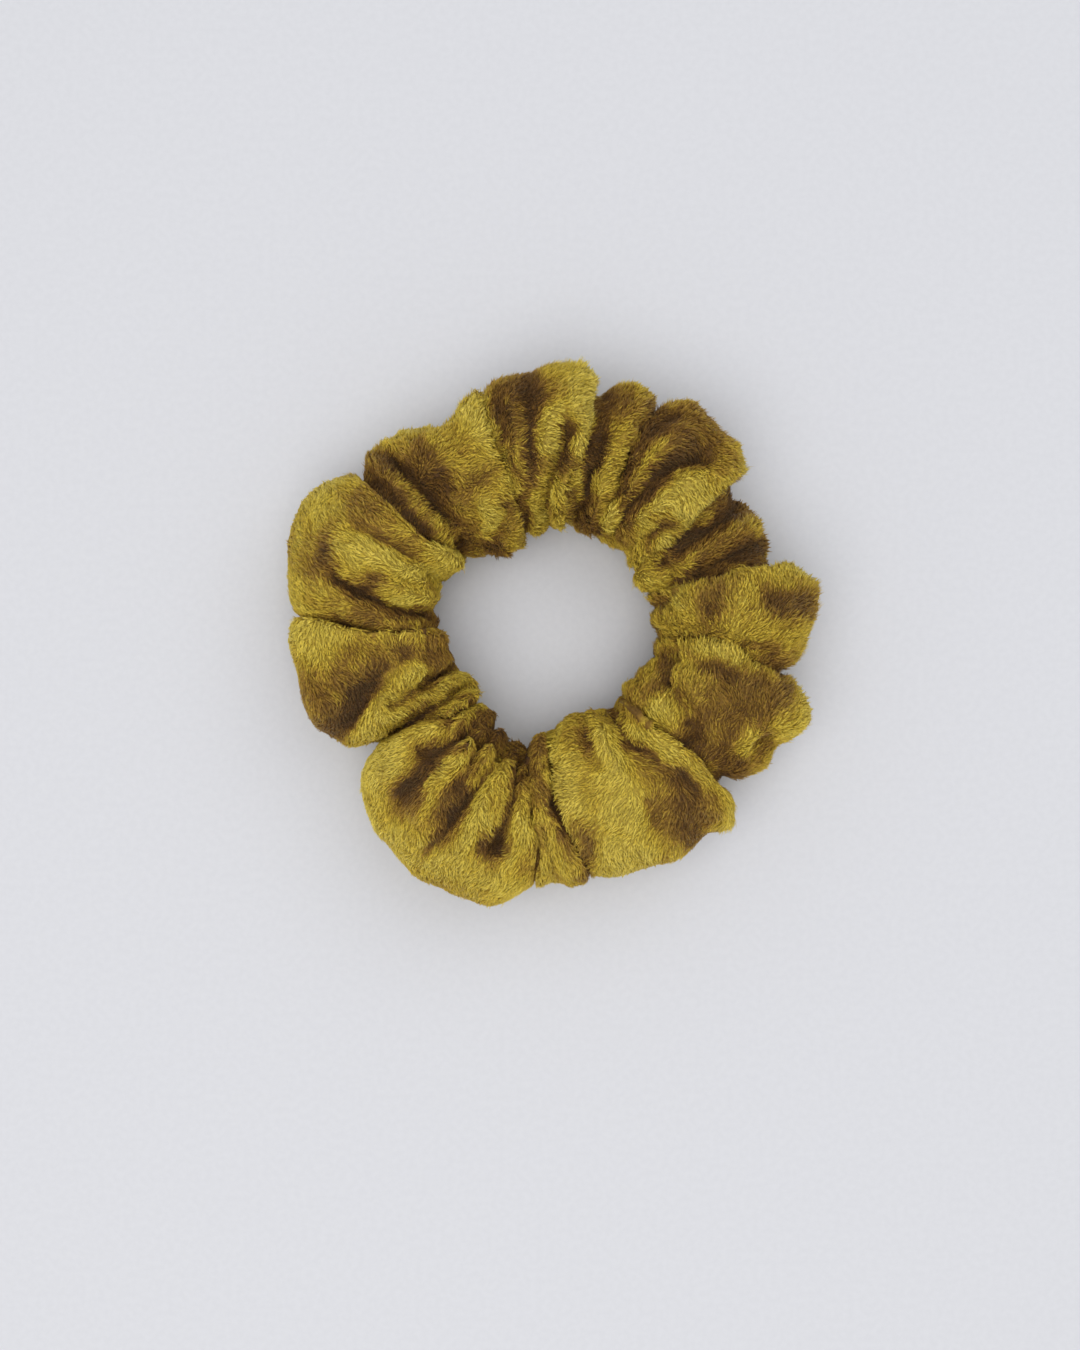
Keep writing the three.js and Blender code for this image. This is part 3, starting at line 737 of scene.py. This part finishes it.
def held_still(points, down):
    """Where the cloth can't move: at its seams, in its creases, and where it rests. 0 to 1."""
    held = np.maximum(smooth(down, 2.0, 4.5), 1.0 - smooth(points[..., 2], 1.6, 4.0))
    angle, radius = polar(points)
    from_hole = radius - hole(angle)
    held = np.maximum(held, 0.85 * (1.0 - smooth(from_hole, 2.0, 7.0)))
    held[:, (0, -1)] = 1.0
    held[(0, -1), :] = 1.0
    return held


def settled(points, down):
    """The cover after a short cloth simulation: it swells and wrinkles between its creases."""
    count, rows = points.shape[:2]
    held = held_still(points, down)
    points = points - SWELL * grid_normals(points) * (1.0 - held[..., None])
    copy = new_mesh("settling_cloth", points.reshape(-1, 3) * SIM_SCALE, grid_faces(count, rows))
    pins = copy.vertex_groups.new(name="pins")
    levels = np.round(held.ravel() * PIN_LEVELS).astype(int)
    for level in range(1, PIN_LEVELS + 1):
        pins.add(np.flatnonzero(levels == level).tolist(), level / PIN_LEVELS, "REPLACE")
    modifier = copy.modifiers.new("settle", "CLOTH")
    for key, value in CLOTH_SETTINGS.items():
        setattr(modifier.settings, key, value)
    modifier.settings.effector_weights.gravity = 0.0
    modifier.point_cache.frame_start = 1
    modifier.point_cache.frame_end = SIM_FRAMES
    scene = bpy.context.scene
    for step in range(1, SIM_FRAMES + 1):
        scene.frame_set(step)
    ready = copy.evaluated_get(bpy.context.evaluated_depsgraph_get())
    found = np.empty(count * rows * 3, np.float32)
    ready.data.vertices.foreach_get("co", found)
    bpy.data.objects.remove(copy, do_unlink=True)
    scene.frame_set(1)
    moved = found.astype(np.float64).reshape(points.shape) / MM / SIM_SCALE - points
    far = np.linalg.norm(moved, axis=-1, keepdims=True)
    eased = SETTLE_LIMIT * np.tanh(far / SETTLE_LIMIT) / np.maximum(far, 1e-9)
    return points + moved * eased * (1.0 - held[..., None])


# ---------------------------------------------------------------- colours
def tone_with_painted_light_at(points, raised, down, lip):
    """How bright or crushed the pile is at these points, painted shade and painted highlight included: 0
    is brown, 1 the brightest gold.
    """
    seen = seen_from_above(points)
    seen = seen + 0.9 * np.stack([ripple(points, 5.0, 51), ripple(points, 5.0, 52)], axis=-1)
    seen = seen + 0.5 * np.stack([ripple(points, 1.7, 53), ripple(points, 1.7, 54)], axis=-1)
    angle = np.degrees(np.arctan2(seen[:, 1], seen[:, 0]))
    radius = np.linalg.norm(seen, axis=-1)
    total = np.zeros(len(points))
    share = np.full(len(points), 0.28)
    for where, far, half_angle, half_radius, tone in TONES_WITH_PAINTED_LIGHT:
        off = (turn(angle - where) / half_angle) ** 2 + ((radius - far) / half_radius) ** 2
        weight = np.exp(-0.8 * off**1.4)
        total += weight * tone
        share += weight
    drawn = 1.2 * total / share
    patches = ripple(points, 8.0, 55) + 0.4 * ripple(points, 2.5, 56)
    elsewhere = 0.15 - 1.1 * smooth(patches, 0.15, 0.9) + 0.35 * smooth(-patches, 0.1, 0.8)
    upper = smooth(points[:, 2], 4.0, 9.0)
    tone = elsewhere + (drawn - elsewhere) * upper
    tone = tone + 0.13 * ripple(points, 2.2, 57) + 0.1 * ripple(points, 1.1, 58)
    # Painted shade darkens the hollows and the deep creases; painted highlight lightens the ridges and
    # the lips.
    tone = tone + 0.5 * np.clip(raised, -0.9, 0.5) - 0.5 * smooth(down, 0.8, 3.5) + 0.4 * lip
    return np.clip(0.5 + 0.5 * tone, 0.0, 1.0)


# ---------------------------------------------------------------- materials
def node_material(name):
    material = bpy.data.materials.new(name)
    material.use_nodes = True
    tree = material.node_tree
    return material, tree, tree.nodes["Principled BSDF"]


def add_node(tree, kind, **settings):
    node = tree.nodes.new(kind)
    for key, value in settings.items():
        if key in node.inputs.keys():
            node.inputs[key].default_value = value
        else:
            setattr(node, key, value)
    return node


def ramp(tree, factor, stops):
    """A colour ramp through (position, colour) stops."""
    node = tree.nodes.new("ShaderNodeValToRGB")
    elements = node.color_ramp.elements
    while len(elements) < len(stops):
        elements.new(0.5)
    for element, (position, color) in zip(elements, stops):
        element.position = position
        element.color = (*color, 1.0)
    tree.links.new(factor, node.inputs["Fac"])
    return node.outputs["Color"]


def mixed(tree, kind, factor, first, second):
    node = tree.nodes.new("ShaderNodeMix")
    node.data_type = "RGBA"
    node.blend_type = kind
    for socket, value in ((0, factor), (6, first), (7, second)):
        if isinstance(value, bpy.types.NodeSocket):
            tree.links.new(value, node.inputs[socket])
        else:
            node.inputs[socket].default_value = value
    return node.outputs[2]


def bump(tree, shader, height, strength, distance):
    node = tree.nodes.new("ShaderNodeBump")
    node.inputs["Strength"].default_value = strength
    node.inputs["Distance"].default_value = distance
    tree.links.new(height, node.inputs["Height"])
    tree.links.new(node.outputs["Normal"], shader.inputs["Normal"])


VELVET_TONES = [
    (0.0, (0.13, 0.062, 0.014)), (0.2, (0.25, 0.124, 0.02)), (0.42, (0.48, 0.285, 0.036)),
    (0.6, (0.7, 0.49, 0.05)), (0.8, (0.86, 0.66, 0.068)), (1.0, (0.95, 0.78, 0.12)),
]


def pile_parts(tree):
    """The stored tone, shade and height along the tuft, with their painted light and shade."""
    tint = add_node(tree, "ShaderNodeAttribute", attribute_name="pile")
    parts = tree.nodes.new("ShaderNodeSeparateColor")
    tree.links.new(tint.outputs["Color"], parts.inputs["Color"])
    return parts.outputs["Red"], parts.outputs["Green"], parts.outputs["Blue"]


def pile_material():
    """Velvet pile: brown where it is crushed or in painted shade, through amber to gold, with painted
    shade darker at its roots.
    """
    material, tree, shader = node_material("velvet_pile")
    tone, shade, height = pile_parts(tree)
    color = ramp(tree, tone, VELVET_TONES)
    # Shade from lock to lock: random, with painted shade at the clumps' sides and a painted whitish
    # highlight at its bright end.
    vary = ramp(tree, shade, [
        (0.0, (0.62, 0.57, 0.50)), (0.5, (1.0, 1.0, 1.0)), (1.0, (1.25, 1.27, 1.6)),
    ])
    color = mixed(tree, "MULTIPLY", 1.0, color, vary)
    # Painted shade: darker towards each tuft's root, and in the creases through the stored height.
    depth = ramp(tree, height, [
        (0.0, (0.42, 0.35, 0.26)), (0.5, (0.84, 0.80, 0.72)), (1.0, (1.05, 1.05, 1.05)),
    ])
    color = mixed(tree, "MULTIPLY", 1.0, color, depth)
    tree.links.new(color, shader.inputs["Base Color"])
    shader.inputs["Roughness"].default_value = 0.5
    shader.inputs["Specular IOR Level"].default_value = 0.3
    shader.inputs["Sheen Weight"].default_value = 0.12
    shader.inputs["Sheen Roughness"].default_value = 0.35
    shader.inputs["Sheen Tint"].default_value = (0.95, 0.82, 0.42, 1.0)
    return material


def ground_material():
    """The woven ground that the pile stands on."""
    material, tree, shader = node_material("velvet_ground")
    place = tree.nodes.new("ShaderNodeTexCoord")
    tone = pile_parts(tree)[0]
    grain = add_node(tree, "ShaderNodeTexNoise", Scale=2600.0, Detail=4.0, Roughness=0.65)
    tree.links.new(place.outputs["Object"], grain.inputs["Vector"])
    # The pile's tone, with its painted light and shade.
    color = ramp(tree, tone, VELVET_TONES)
    vary = ramp(tree, grain.outputs["Fac"], [
        (0.3, (0.36, 0.31, 0.25)), (0.75, (0.66, 0.61, 0.53)),
    ])
    color = mixed(tree, "MULTIPLY", 1.0, color, vary)
    tree.links.new(color, shader.inputs["Base Color"])
    shader.inputs["Roughness"].default_value = 0.85
    bump(tree, shader, grain.outputs["Fac"], 0.6, 0.0003)
    return material


def thread_material(name, light, dark):
    """Twisted thread: fine slanting bands."""
    material, tree, shader = node_material(name)
    place = tree.nodes.new("ShaderNodeTexCoord")
    twist = add_node(tree, "ShaderNodeTexWave", Scale=900.0, Distortion=1.5, Detail=2.0)
    twist.bands_direction = "DIAGONAL"
    tree.links.new(place.outputs["Object"], twist.inputs["Vector"])
    color = ramp(tree, twist.outputs["Fac"], [(0.1, dark), (0.8, light)])
    tree.links.new(color, shader.inputs["Base Color"])
    shader.inputs["Roughness"].default_value = 0.7
    bump(tree, shader, twist.outputs["Fac"], 0.5, 0.0001)
    return material


def elastic_material():
    """Braided elastic: soft white with fine lengthwise and slanting yarns."""
    material, tree, shader = node_material("elastic_braid")
    place = tree.nodes.new("ShaderNodeTexCoord")
    yarn = add_node(tree, "ShaderNodeTexWave", Scale=700.0, Distortion=2.0, Detail=2.0)
    yarn.bands_direction = "Z"
    tree.links.new(place.outputs["Object"], yarn.inputs["Vector"])
    fuzz = add_node(tree, "ShaderNodeTexNoise", Scale=1800.0, Detail=3.0)
    tree.links.new(place.outputs["Object"], fuzz.inputs["Vector"])
    both = mixed(tree, "MULTIPLY", 0.5, yarn.outputs["Color"], fuzz.outputs["Color"])
    color = ramp(tree, both, [(0.1, (0.66, 0.64, 0.58)), (0.7, (0.88, 0.87, 0.83))])
    tree.links.new(color, shader.inputs["Base Color"])
    shader.inputs["Roughness"].default_value = 0.8
    bump(tree, shader, both, 0.6, 0.0002)
    return material


def paper_material():
    """Plain pale paper with a faint fibre."""
    material, tree, shader = node_material("pale_floor")
    place = tree.nodes.new("ShaderNodeTexCoord")
    fibre = add_node(tree, "ShaderNodeTexNoise", Scale=900.0, Detail=4.0)
    tree.links.new(place.outputs["Object"], fibre.inputs["Vector"])
    color = ramp(tree, fibre.outputs["Fac"], [
        (0.35, (0.665, 0.667, 0.69)), (0.65, (0.685, 0.687, 0.71)),
    ])
    tree.links.new(color, shader.inputs["Base Color"])
    shader.inputs["Roughness"].default_value = 0.9
    return material


def dress(thing, material):
    thing.data.materials.clear()
    thing.data.materials.append(material)


# ---------------------------------------------------------------- the camera
CAMERA_ABOVE = 0.267  # over the ring's mid height
CAMERA_SIDE = -0.0015  # of the ring's middle, along X
CAMERA_DOWN = -0.0067  # and along Y
VIEW_HEIGHT = 0.2261  # what the frame takes in from top to bottom, at the ring's mid height


def camera():
    """Straight above, the ring a little up from the middle of the frame."""
    data = bpy.data.cameras.new("camera")
    data.sensor_fit = "VERTICAL"
    data.sensor_height = 24.0
    data.lens = data.sensor_height * CAMERA_ABOVE / VIEW_HEIGHT
    thing = bpy.data.objects.new("camera", data)
    thing.location = (CAMERA_SIDE, CAMERA_DOWN, MID_HEIGHT * MM + CAMERA_ABOVE)
    bpy.context.scene.collection.objects.link(thing)
    bpy.context.scene.camera = thing


# ---------------------------------------------------------------- the cover and its pile
def cover_piece(points, raised, down, lip):
    """The velvet's ground cloth, with the pile's tone at each corner, painted light and shade included.
    """
    whole = with_allowances(points)
    sheet_points, faces = two_sided(whole, grid_normals(whole), CLOTH_THICK)
    thing = new_mesh("velvet_cover_cloth", sheet_points, faces)
    edges = ((0, 0), (ALLOWANCE_ROWS, ALLOWANCE_ROWS))
    fields = [np.pad(field, edges, mode="edge").ravel() for field in (raised, down, lip)]
    tone = np.tile(tone_with_painted_light_at(whole.reshape(-1, 3), *fields), 2)
    middle = np.full_like(tone, 0.5)
    full = np.ones_like(tone)
    paint(thing, np.stack([tone, middle, full, full], axis=-1))
    dress(thing, ground_material())
    return thing


def scatter(points, fields, down, rng):
    """Random places on the outer face, with each field's value there."""
    corners = [points[:-1, :-1], points[1:, :-1], points[1:, 1:], points[:-1, 1:]]
    diagonals = np.cross(corners[2] - corners[0], corners[3] - corners[1])
    area = np.linalg.norm(diagonals, axis=-1) / 2.0
    buried = smooth(down[:-1, :-1], HIDDEN_DEPTH - 0.8, HIDDEN_DEPTH)
    resting = 1.0 - smooth(points[:-1, :-1, 2], 1.6, 3.0)
    weight = (area * (1.0 - buried) * (1.0 - 0.5 * resting)).ravel()
    ladder = np.cumsum(weight)
    picks = (np.arange(CLUMPS) + rng.random(CLUMPS)) / CLUMPS * ladder[-1]
    face = np.minimum(np.searchsorted(ladder, picks), len(ladder) - 1)
    column, row = np.divmod(face, points.shape[1] - 1)
    u = rng.random(CLUMPS)[:, None]
    v = rng.random(CLUMPS)[:, None]
    results = []
    for field in (points, *fields):
        grid = field if field.ndim == 3 else field[..., None]
        near = grid[column, row] * (1 - u) + grid[column + 1, row] * u
        far = grid[column, row + 1] * (1 - u) + grid[column + 1, row + 1] * u
        value = near * (1 - v) + far * v
        results.append(value if field.ndim == 3 else value[:, 0])
    return results


def lean_direction(place, normal, puff):
    """The way the pile leans at each place."""
    outward = unit(place * np.array([1.0, 1.0, 0.0]))
    along = np.stack([-outward[:, 1], outward[:, 0], np.zeros(len(place))], axis=-1)
    way = np.radians(np.array(LEANS)[puff])
    way = way + 0.7 * ripple(place, 11.0, 61) + 0.5 * ripple(place, 3.0, 62)
    angle, radius = polar(place)
    at_rim = smooth(radius - rim(angle), -3.5, -0.5)
    lean = along * np.cos(way)[:, None] + outward * (np.sin(way) + 1.2 * at_rim)[:, None]
    lean = unit(lean) - np.array([0.0, 0.0, 0.25])
    lean = lean - normal * np.sum(lean * normal, axis=1, keepdims=True)
    return unit(lean)


def clump_shapes(place, normal, puff, lifted, deep, rng):
    """How each clump leans, how long it is and how flat it lies, and how shaggy it is there."""
    lean = lean_direction(place, normal, puff)
    lean = unit(lean + 0.16 * rng.normal(size=lean.shape))
    lean = unit(lean - normal * np.sum(lean * normal, axis=1, keepdims=True))
    angle, radius = polar(place)
    shaggy = smooth(np.cos(np.radians(angle - SHAGGY_SIDE)), -0.35, 0.55)
    edge = smooth(radius - rim(angle), -4.0, -1.0)
    stray = rng.random(CLUMPS) < 0.04 + 0.22 * shaggy * edge
    length = rng.uniform(*PILE_LENGTH, CLUMPS) * (0.95 + 0.15 * shaggy) * np.where(stray, 1.3, 1.0)
    length = length * (1.0 - 0.4 * smooth(-lifted, 0.2, 0.9)) * (1.0 - 0.3 * smooth(deep, 1.0, 3.5))
    length = length * (0.78 + 0.22 * smooth(place[:, 2], 6.0, 13.5))
    for where in LONG_TUFTS:
        near = np.exp(-(turn(angle - where) / 1.8) ** 2) * edge
        length = length * (1.0 + 0.5 * near)
        shaggy = shaggy + (1.0 - shaggy) * near
    flat = 0.82 - 0.32 * shaggy - 0.12 * shaggy * edge - 0.2 * stray + 0.16 * ripple(place, 4.0, 63)
    flat = flat + 0.24 * (1.0 - smooth(place[:, 2], 6.0, 13.0))
    flat = np.clip(flat + 0.1 * rng.normal(size=CLUMPS), 0.05, 0.95)
    return lean, length, flat, shaggy, edge


def each(values):
    """A clump's value for each of its tufts."""
    return np.repeat(values, TUFTS_IN_CLUMP, axis=0)


def tuft_points(place, normal, lean, length, flat, rng):
    """Each tuft's seven corners, and how far it stands from the middle of its clump."""
    count = CLUMPS * TUFTS_IN_CLUMP
    side = unit(np.cross(normal, lean))
    spread = np.array(CLUMP_SPREAD) * rng.normal(size=(count, 2))
    off_middle = np.minimum(np.abs(spread[:, 1:]) / CLUMP_SPREAD[1], 2.0)
    normal, lean, side = each(normal), each(lean), each(side)
    base = each(place) + lean * spread[:, :1] + side * spread[:, 1:]
    long = (each(length) * rng.uniform(0.75, 1.2, count))[:, None] * (1.0 - 0.1 * off_middle)
    flat = np.clip(each(flat) + 0.08 * rng.normal(size=count), 0.05, 0.98)[:, None]
    rise = (1.0 - 0.16 * off_middle) * long
    bend = normal * (0.42 - 0.16 * flat) * rise + lean * 0.28 * long
    reach = normal * (0.74 - 0.52 * flat) * rise + lean * (0.42 + 0.5 * flat) * long
    drawn = -lean * spread[:, :1] * 0.15 - side * spread[:, 1:] * 0.75
    middle = base + bend + 0.5 * drawn
    tip = base + reach + drawn + 0.06 * rng.normal(size=(count, 3))
    floor_height = 0.02 + 0.1 * rng.random(count)
    for bent in (middle, tip):
        bent[:, 2] = np.maximum(bent[:, 2], floor_height)
    root = base - normal * ROOT_DEPTH
    half = TUFT_WIDTH / 2.0 * rng.uniform(0.75, 1.25, count)[:, None]
    back = unit(np.cross(lean, side))
    corners = []
    for centre, size in ((root, 1.0), (middle, 0.9)):
        for way in (side, -side, back):
            corners.append(centre + way * half * size)
    return np.stack(corners + [tip], axis=1), off_middle[:, 0]


def tuft_colors(tone, shade, painted_rim_highlight, painted_crease_light, off_middle, rng):
    """Tone, shade and height at each tuft's corners, with painted highlight towards the tips and painted
    shade in the creases and at the clumps' sides.
    """
    count = CLUMPS * TUFTS_IN_CLUMP
    heights = np.array([0.0, 0.0, 0.0, 0.5, 0.5, 0.5, 1.0])
    mottled = each(tone + 0.05 * rng.normal(size=CLUMPS)) + 0.05 * rng.normal(size=count)
    painted_tip_highlight = 0.14 + 0.16 * each(painted_rim_highlight)
    # Painted shade: tufts at a clump's sides are darker.
    shades = each(shade) + 0.06 * rng.normal(size=count) - 0.09 * off_middle
    colors = np.ones((count, 7, 4), np.float32)
    # Painted highlight: the tone rises towards each tip, most at the shaggy rim.
    colors[..., 0] = np.clip(mottled[:, None] + painted_tip_highlight[:, None] * heights - 0.07, 0.0, 1.0)
    colors[..., 1] = np.clip(shades, 0.0, 1.0)[:, None]
    # The height channel also carries the painted crease shade.
    colors[..., 2] = heights * each(painted_crease_light)[:, None]
    return colors


def pile_pieces(points, normals, raised, down, lip, puff):
    """Short tapered tufts in clumps all over the outer face, in sectors round the ring."""
    rng = np.random.default_rng(7)
    puff_grid = np.broadcast_to(puff[:, None].astype(float), points.shape[:2])
    fields = (normals, raised, down, lip, puff_grid)
    place, normal, lifted, deep, lipped, on_puff = scatter(points, fields, down, rng)
    normal = unit(normal)
    on_puff = np.round(on_puff).astype(int)
    lean, length, flat, shaggy, edge = clump_shapes(place, normal, on_puff, lifted, deep, rng)
    tone = tone_with_painted_light_at(place, lifted, deep, lipped)
    shade = 0.52 + (0.17 + 0.07 * shaggy) * rng.normal(size=CLUMPS) + 0.1 * ripple(place, 2.0, 64)
    tufts, off_middle = tuft_points(place, normal, lean, length, flat, rng)
    # Painted shade: tufts in the hollows and deep in the creases are darkened.
    painted_crease_light = 1.0 - 0.38 * smooth(-lifted, 0.1, 0.9) - 0.3 * smooth(deep, 0.8, 3.0)
    colors = tuft_colors(tone, shade, shaggy * edge, painted_crease_light, off_middle, rng)
    order = np.argsort(np.argsort(polar(place)[0] % 360.0))
    sector = each(order * PILE_SECTORS // CLUMPS)
    material = pile_material()
    pieces = []
    for k in range(PILE_SECTORS):
        chosen = sector == k
        pieces.append(tuft_mesh(f"velvet_pile_{k + 1:02d}", tufts[chosen], colors[chosen], material))
    return pieces


TUFT_FACES = np.array([
    (2, 1, 0), (0, 1, 4), (0, 4, 3), (1, 2, 5), (1, 5, 4), (2, 0, 3), (2, 3, 5),
    (3, 4, 6), (4, 5, 6), (5, 3, 6),
])
TUFT_MAP = np.array([
    (0.1, 0.1), (0.5, 0.1), (0.9, 0.1), (0.15, 0.5), (0.5, 0.5), (0.85, 0.5), (0.5, 0.9),
])


def tuft_mesh(name, tufts, colors, material):
    count = len(tufts)
    faces = (TUFT_FACES[None] + np.arange(count)[:, None, None] * 7).reshape(-1, 3)
    thing = new_mesh(name, tufts.reshape(-1, 3), faces)
    paint(thing, colors)
    add_bake_map(thing, count)
    dress(thing, material)
    return thing


def add_bake_map(thing, count):
    """Each tuft gets its own small cell of the map, root low and tip high."""
    across = math.ceil(math.sqrt(count))
    column, row = np.divmod(np.arange(count), across)
    low = np.stack([column, row], axis=1) / across
    cells = low[:, None, :] + TUFT_MAP[None] / across
    corners = cells[:, TUFT_FACES.ravel()].reshape(-1, 2)
    layer = thing.data.uv_layers.new(name="OFBake")
    layer.data.foreach_set("uv", corners.astype(np.float32).ravel())


# ---------------------------------------------------------------- the seams' threads
STITCH = 2.4
THREAD_RADIUS = 0.16
THREAD_SIDES = 6
STITCHES_IN = 3.2  # from the lengthwise seam's fold to its stitches
CLOSING_STITCHES_UP = 2.2  # from the closing seam's raw edges to its stitches


def tube_mesh(name, path, radius):
    """A round tube along a path of points, with closed ends."""
    sides = THREAD_SIDES
    along = unit(np.gradient(path, axis=0))
    across = unit(np.cross(along, np.array([0.3, 0.2, 1.0])))
    other = np.cross(along, across)
    corner = (np.arange(sides) * (2.0 * math.pi / sides))[None, :, None]
    ring = across[:, None] * np.cos(corner) + other[:, None] * np.sin(corner)
    points = (path[:, None] + radius * ring).reshape(-1, 3)
    points = np.concatenate([points, path[:1], path[-1:]])
    first = np.arange(sides)
    second = (first + 1) % sides
    starts = np.arange(len(path) - 1)[:, None] * sides
    here, after = starts + first, starts + second
    quads = np.stack([here, after, after + sides, here + sides], axis=-1).reshape(-1, 4)
    faces = np.concatenate([quads[:, [0, 1, 2]], quads[:, [0, 2, 3]]])
    last = (len(path) - 1) * sides
    start = np.full(sides, last + sides)
    caps = [np.stack([start, second, first], axis=-1)]
    caps.append(np.stack([start + 1, last + first, last + second], axis=-1))
    return new_mesh(name, points, np.concatenate([faces, *caps]))


def stitched(line, aside, stand_off):
    """A lockstitch thread's path: along one side of a seam, through to its middle at each stitch."""
    steps = np.linalg.norm(np.diff(line, axis=0), axis=-1)
    passed = np.concatenate([[0.0], np.cumsum(steps)])
    places = np.arange(0.0, passed[-1], STITCH / 8.0)
    path = np.stack([np.interp(places, passed, line[:, k]) for k in range(3)], axis=-1)
    way = np.stack([np.interp(places, passed, aside[:, k]) for k in range(3)], axis=-1)
    far = np.stack([np.interp(places, passed, stand_off)] * 3, axis=-1)
    arch = np.abs(np.sin(math.pi * places / STITCH))[:, None] ** 0.5
    return path + unit(way) * far * arch


def seam_threads(points, down):
    """The needle and bobbin threads of the lengthwise and the closing seam."""
    seam, inward, aside = lengthwise_seam(points)
    line = seam + inward * np.minimum(STITCHES_IN, 0.64 * allowance_depth(seam, inward))
    stand_off = CLOTH_THICK + THREAD_RADIUS
    paths = {"casing": (line, aside, np.full(len(line), SEAM_GAP / 2.0 + stand_off))}
    depth = np.maximum(down[0], 3.5) - CLOSING_STITCHES_UP
    rows = np.arange(points.shape[1])
    reach = down.shape[0] // 16
    first = points[np.argmin(np.abs(down[:reach] - depth), axis=0), rows]
    last = points[-reach + np.argmin(np.abs(down[-reach:] - depth), axis=0), rows]
    apart = np.linalg.norm(first - last, axis=-1)
    paths["closing"] = ((first + last) / 2.0, unit(first - last), apart / 2.0 + stand_off)
    material = thread_material("seam_thread", (0.42, 0.33, 0.10), (0.2, 0.15, 0.05))
    for seam_name, (line, aside, outside) in paths.items():
        for thread, side in (("needle", 1.0), ("bobbin", -1.0)):
            name = f"{seam_name}_seam_{thread}_thread"
            piece = tube_mesh("sewn_" + name, stitched(line, aside * side, outside), THREAD_RADIUS)
            dress(piece, material)
            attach(piece, "cover")
            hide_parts(name)


# ---------------------------------------------------------------- the studio
FLOOR_HALF = 900.0


def area_light(name, place, aim, size, power, color):
    data = bpy.data.lights.new(name, "AREA")
    data.shape = "DISK"
    data.size = size
    data.energy = power
    data.color = color
    thing = bpy.data.objects.new(name, data)
    thing.location = place
    thing.rotation_euler = (Vector(aim) - Vector(place)).to_track_quat("-Z", "Y").to_euler()
    bpy.context.scene.collection.objects.link(thing)


def studio():
    """A paper floor, a large soft light above and to the left, a weaker one behind."""
    corners = [(-1, -1, 0), (1, -1, 0), (1, 1, 0), (-1, 1, 0)]
    ground = new_mesh("floor", np.array(corners) * FLOOR_HALF, [(0, 1, 2, 3)])
    dress(ground, paper_material())
    aim = (0.0, 0.0, 0.012)
    area_light("key", (-0.19, -0.29, 1.0), aim, 1.15, 6.4, (1.0, 0.985, 0.96))
    area_light("fill", (0.4, 0.45, 0.9), aim, 1.0, 2.4, (0.96, 0.98, 1.0))
    world = bpy.data.worlds.new("world")
    world.use_nodes = True
    backdrop = world.node_tree.nodes["Background"]
    backdrop.inputs["Color"].default_value = (0.93, 0.95, 1.0, 1.0)
    backdrop.inputs["Strength"].default_value = 0.56
    bpy.context.scene.world = world
    bpy.context.scene.view_settings.view_transform = "Standard"


camera()
studio()
cloth, crease_depth, lips = cover_grid()
cloth = round_the_elastic(settled(cloth, crease_depth))
cloth_normals = grid_normals(cloth)
cloth_relief = relief(cloth, cloth_normals)
cover = cover_piece(cloth, cloth_relief, crease_depth, lips)
stood_out = pile_normals(cloth, cloth_normals)
pile = pile_pieces(cloth, stood_out, cloth_relief, crease_depth, lips, columns()[0])
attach(cover, "cover")
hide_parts("velvet_cover")
for piece in pile:
    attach(piece, "cover")
dress(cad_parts["elastic_band"], elastic_material())
seam_threads(cloth, crease_depth)
white_thread = thread_material("elastic_thread", (0.8, 0.78, 0.72), (0.5, 0.48, 0.42))
for thread in ("needle", "bobbin"):
    dress(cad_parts[f"elastic_join_{thread}_thread"], white_thread)
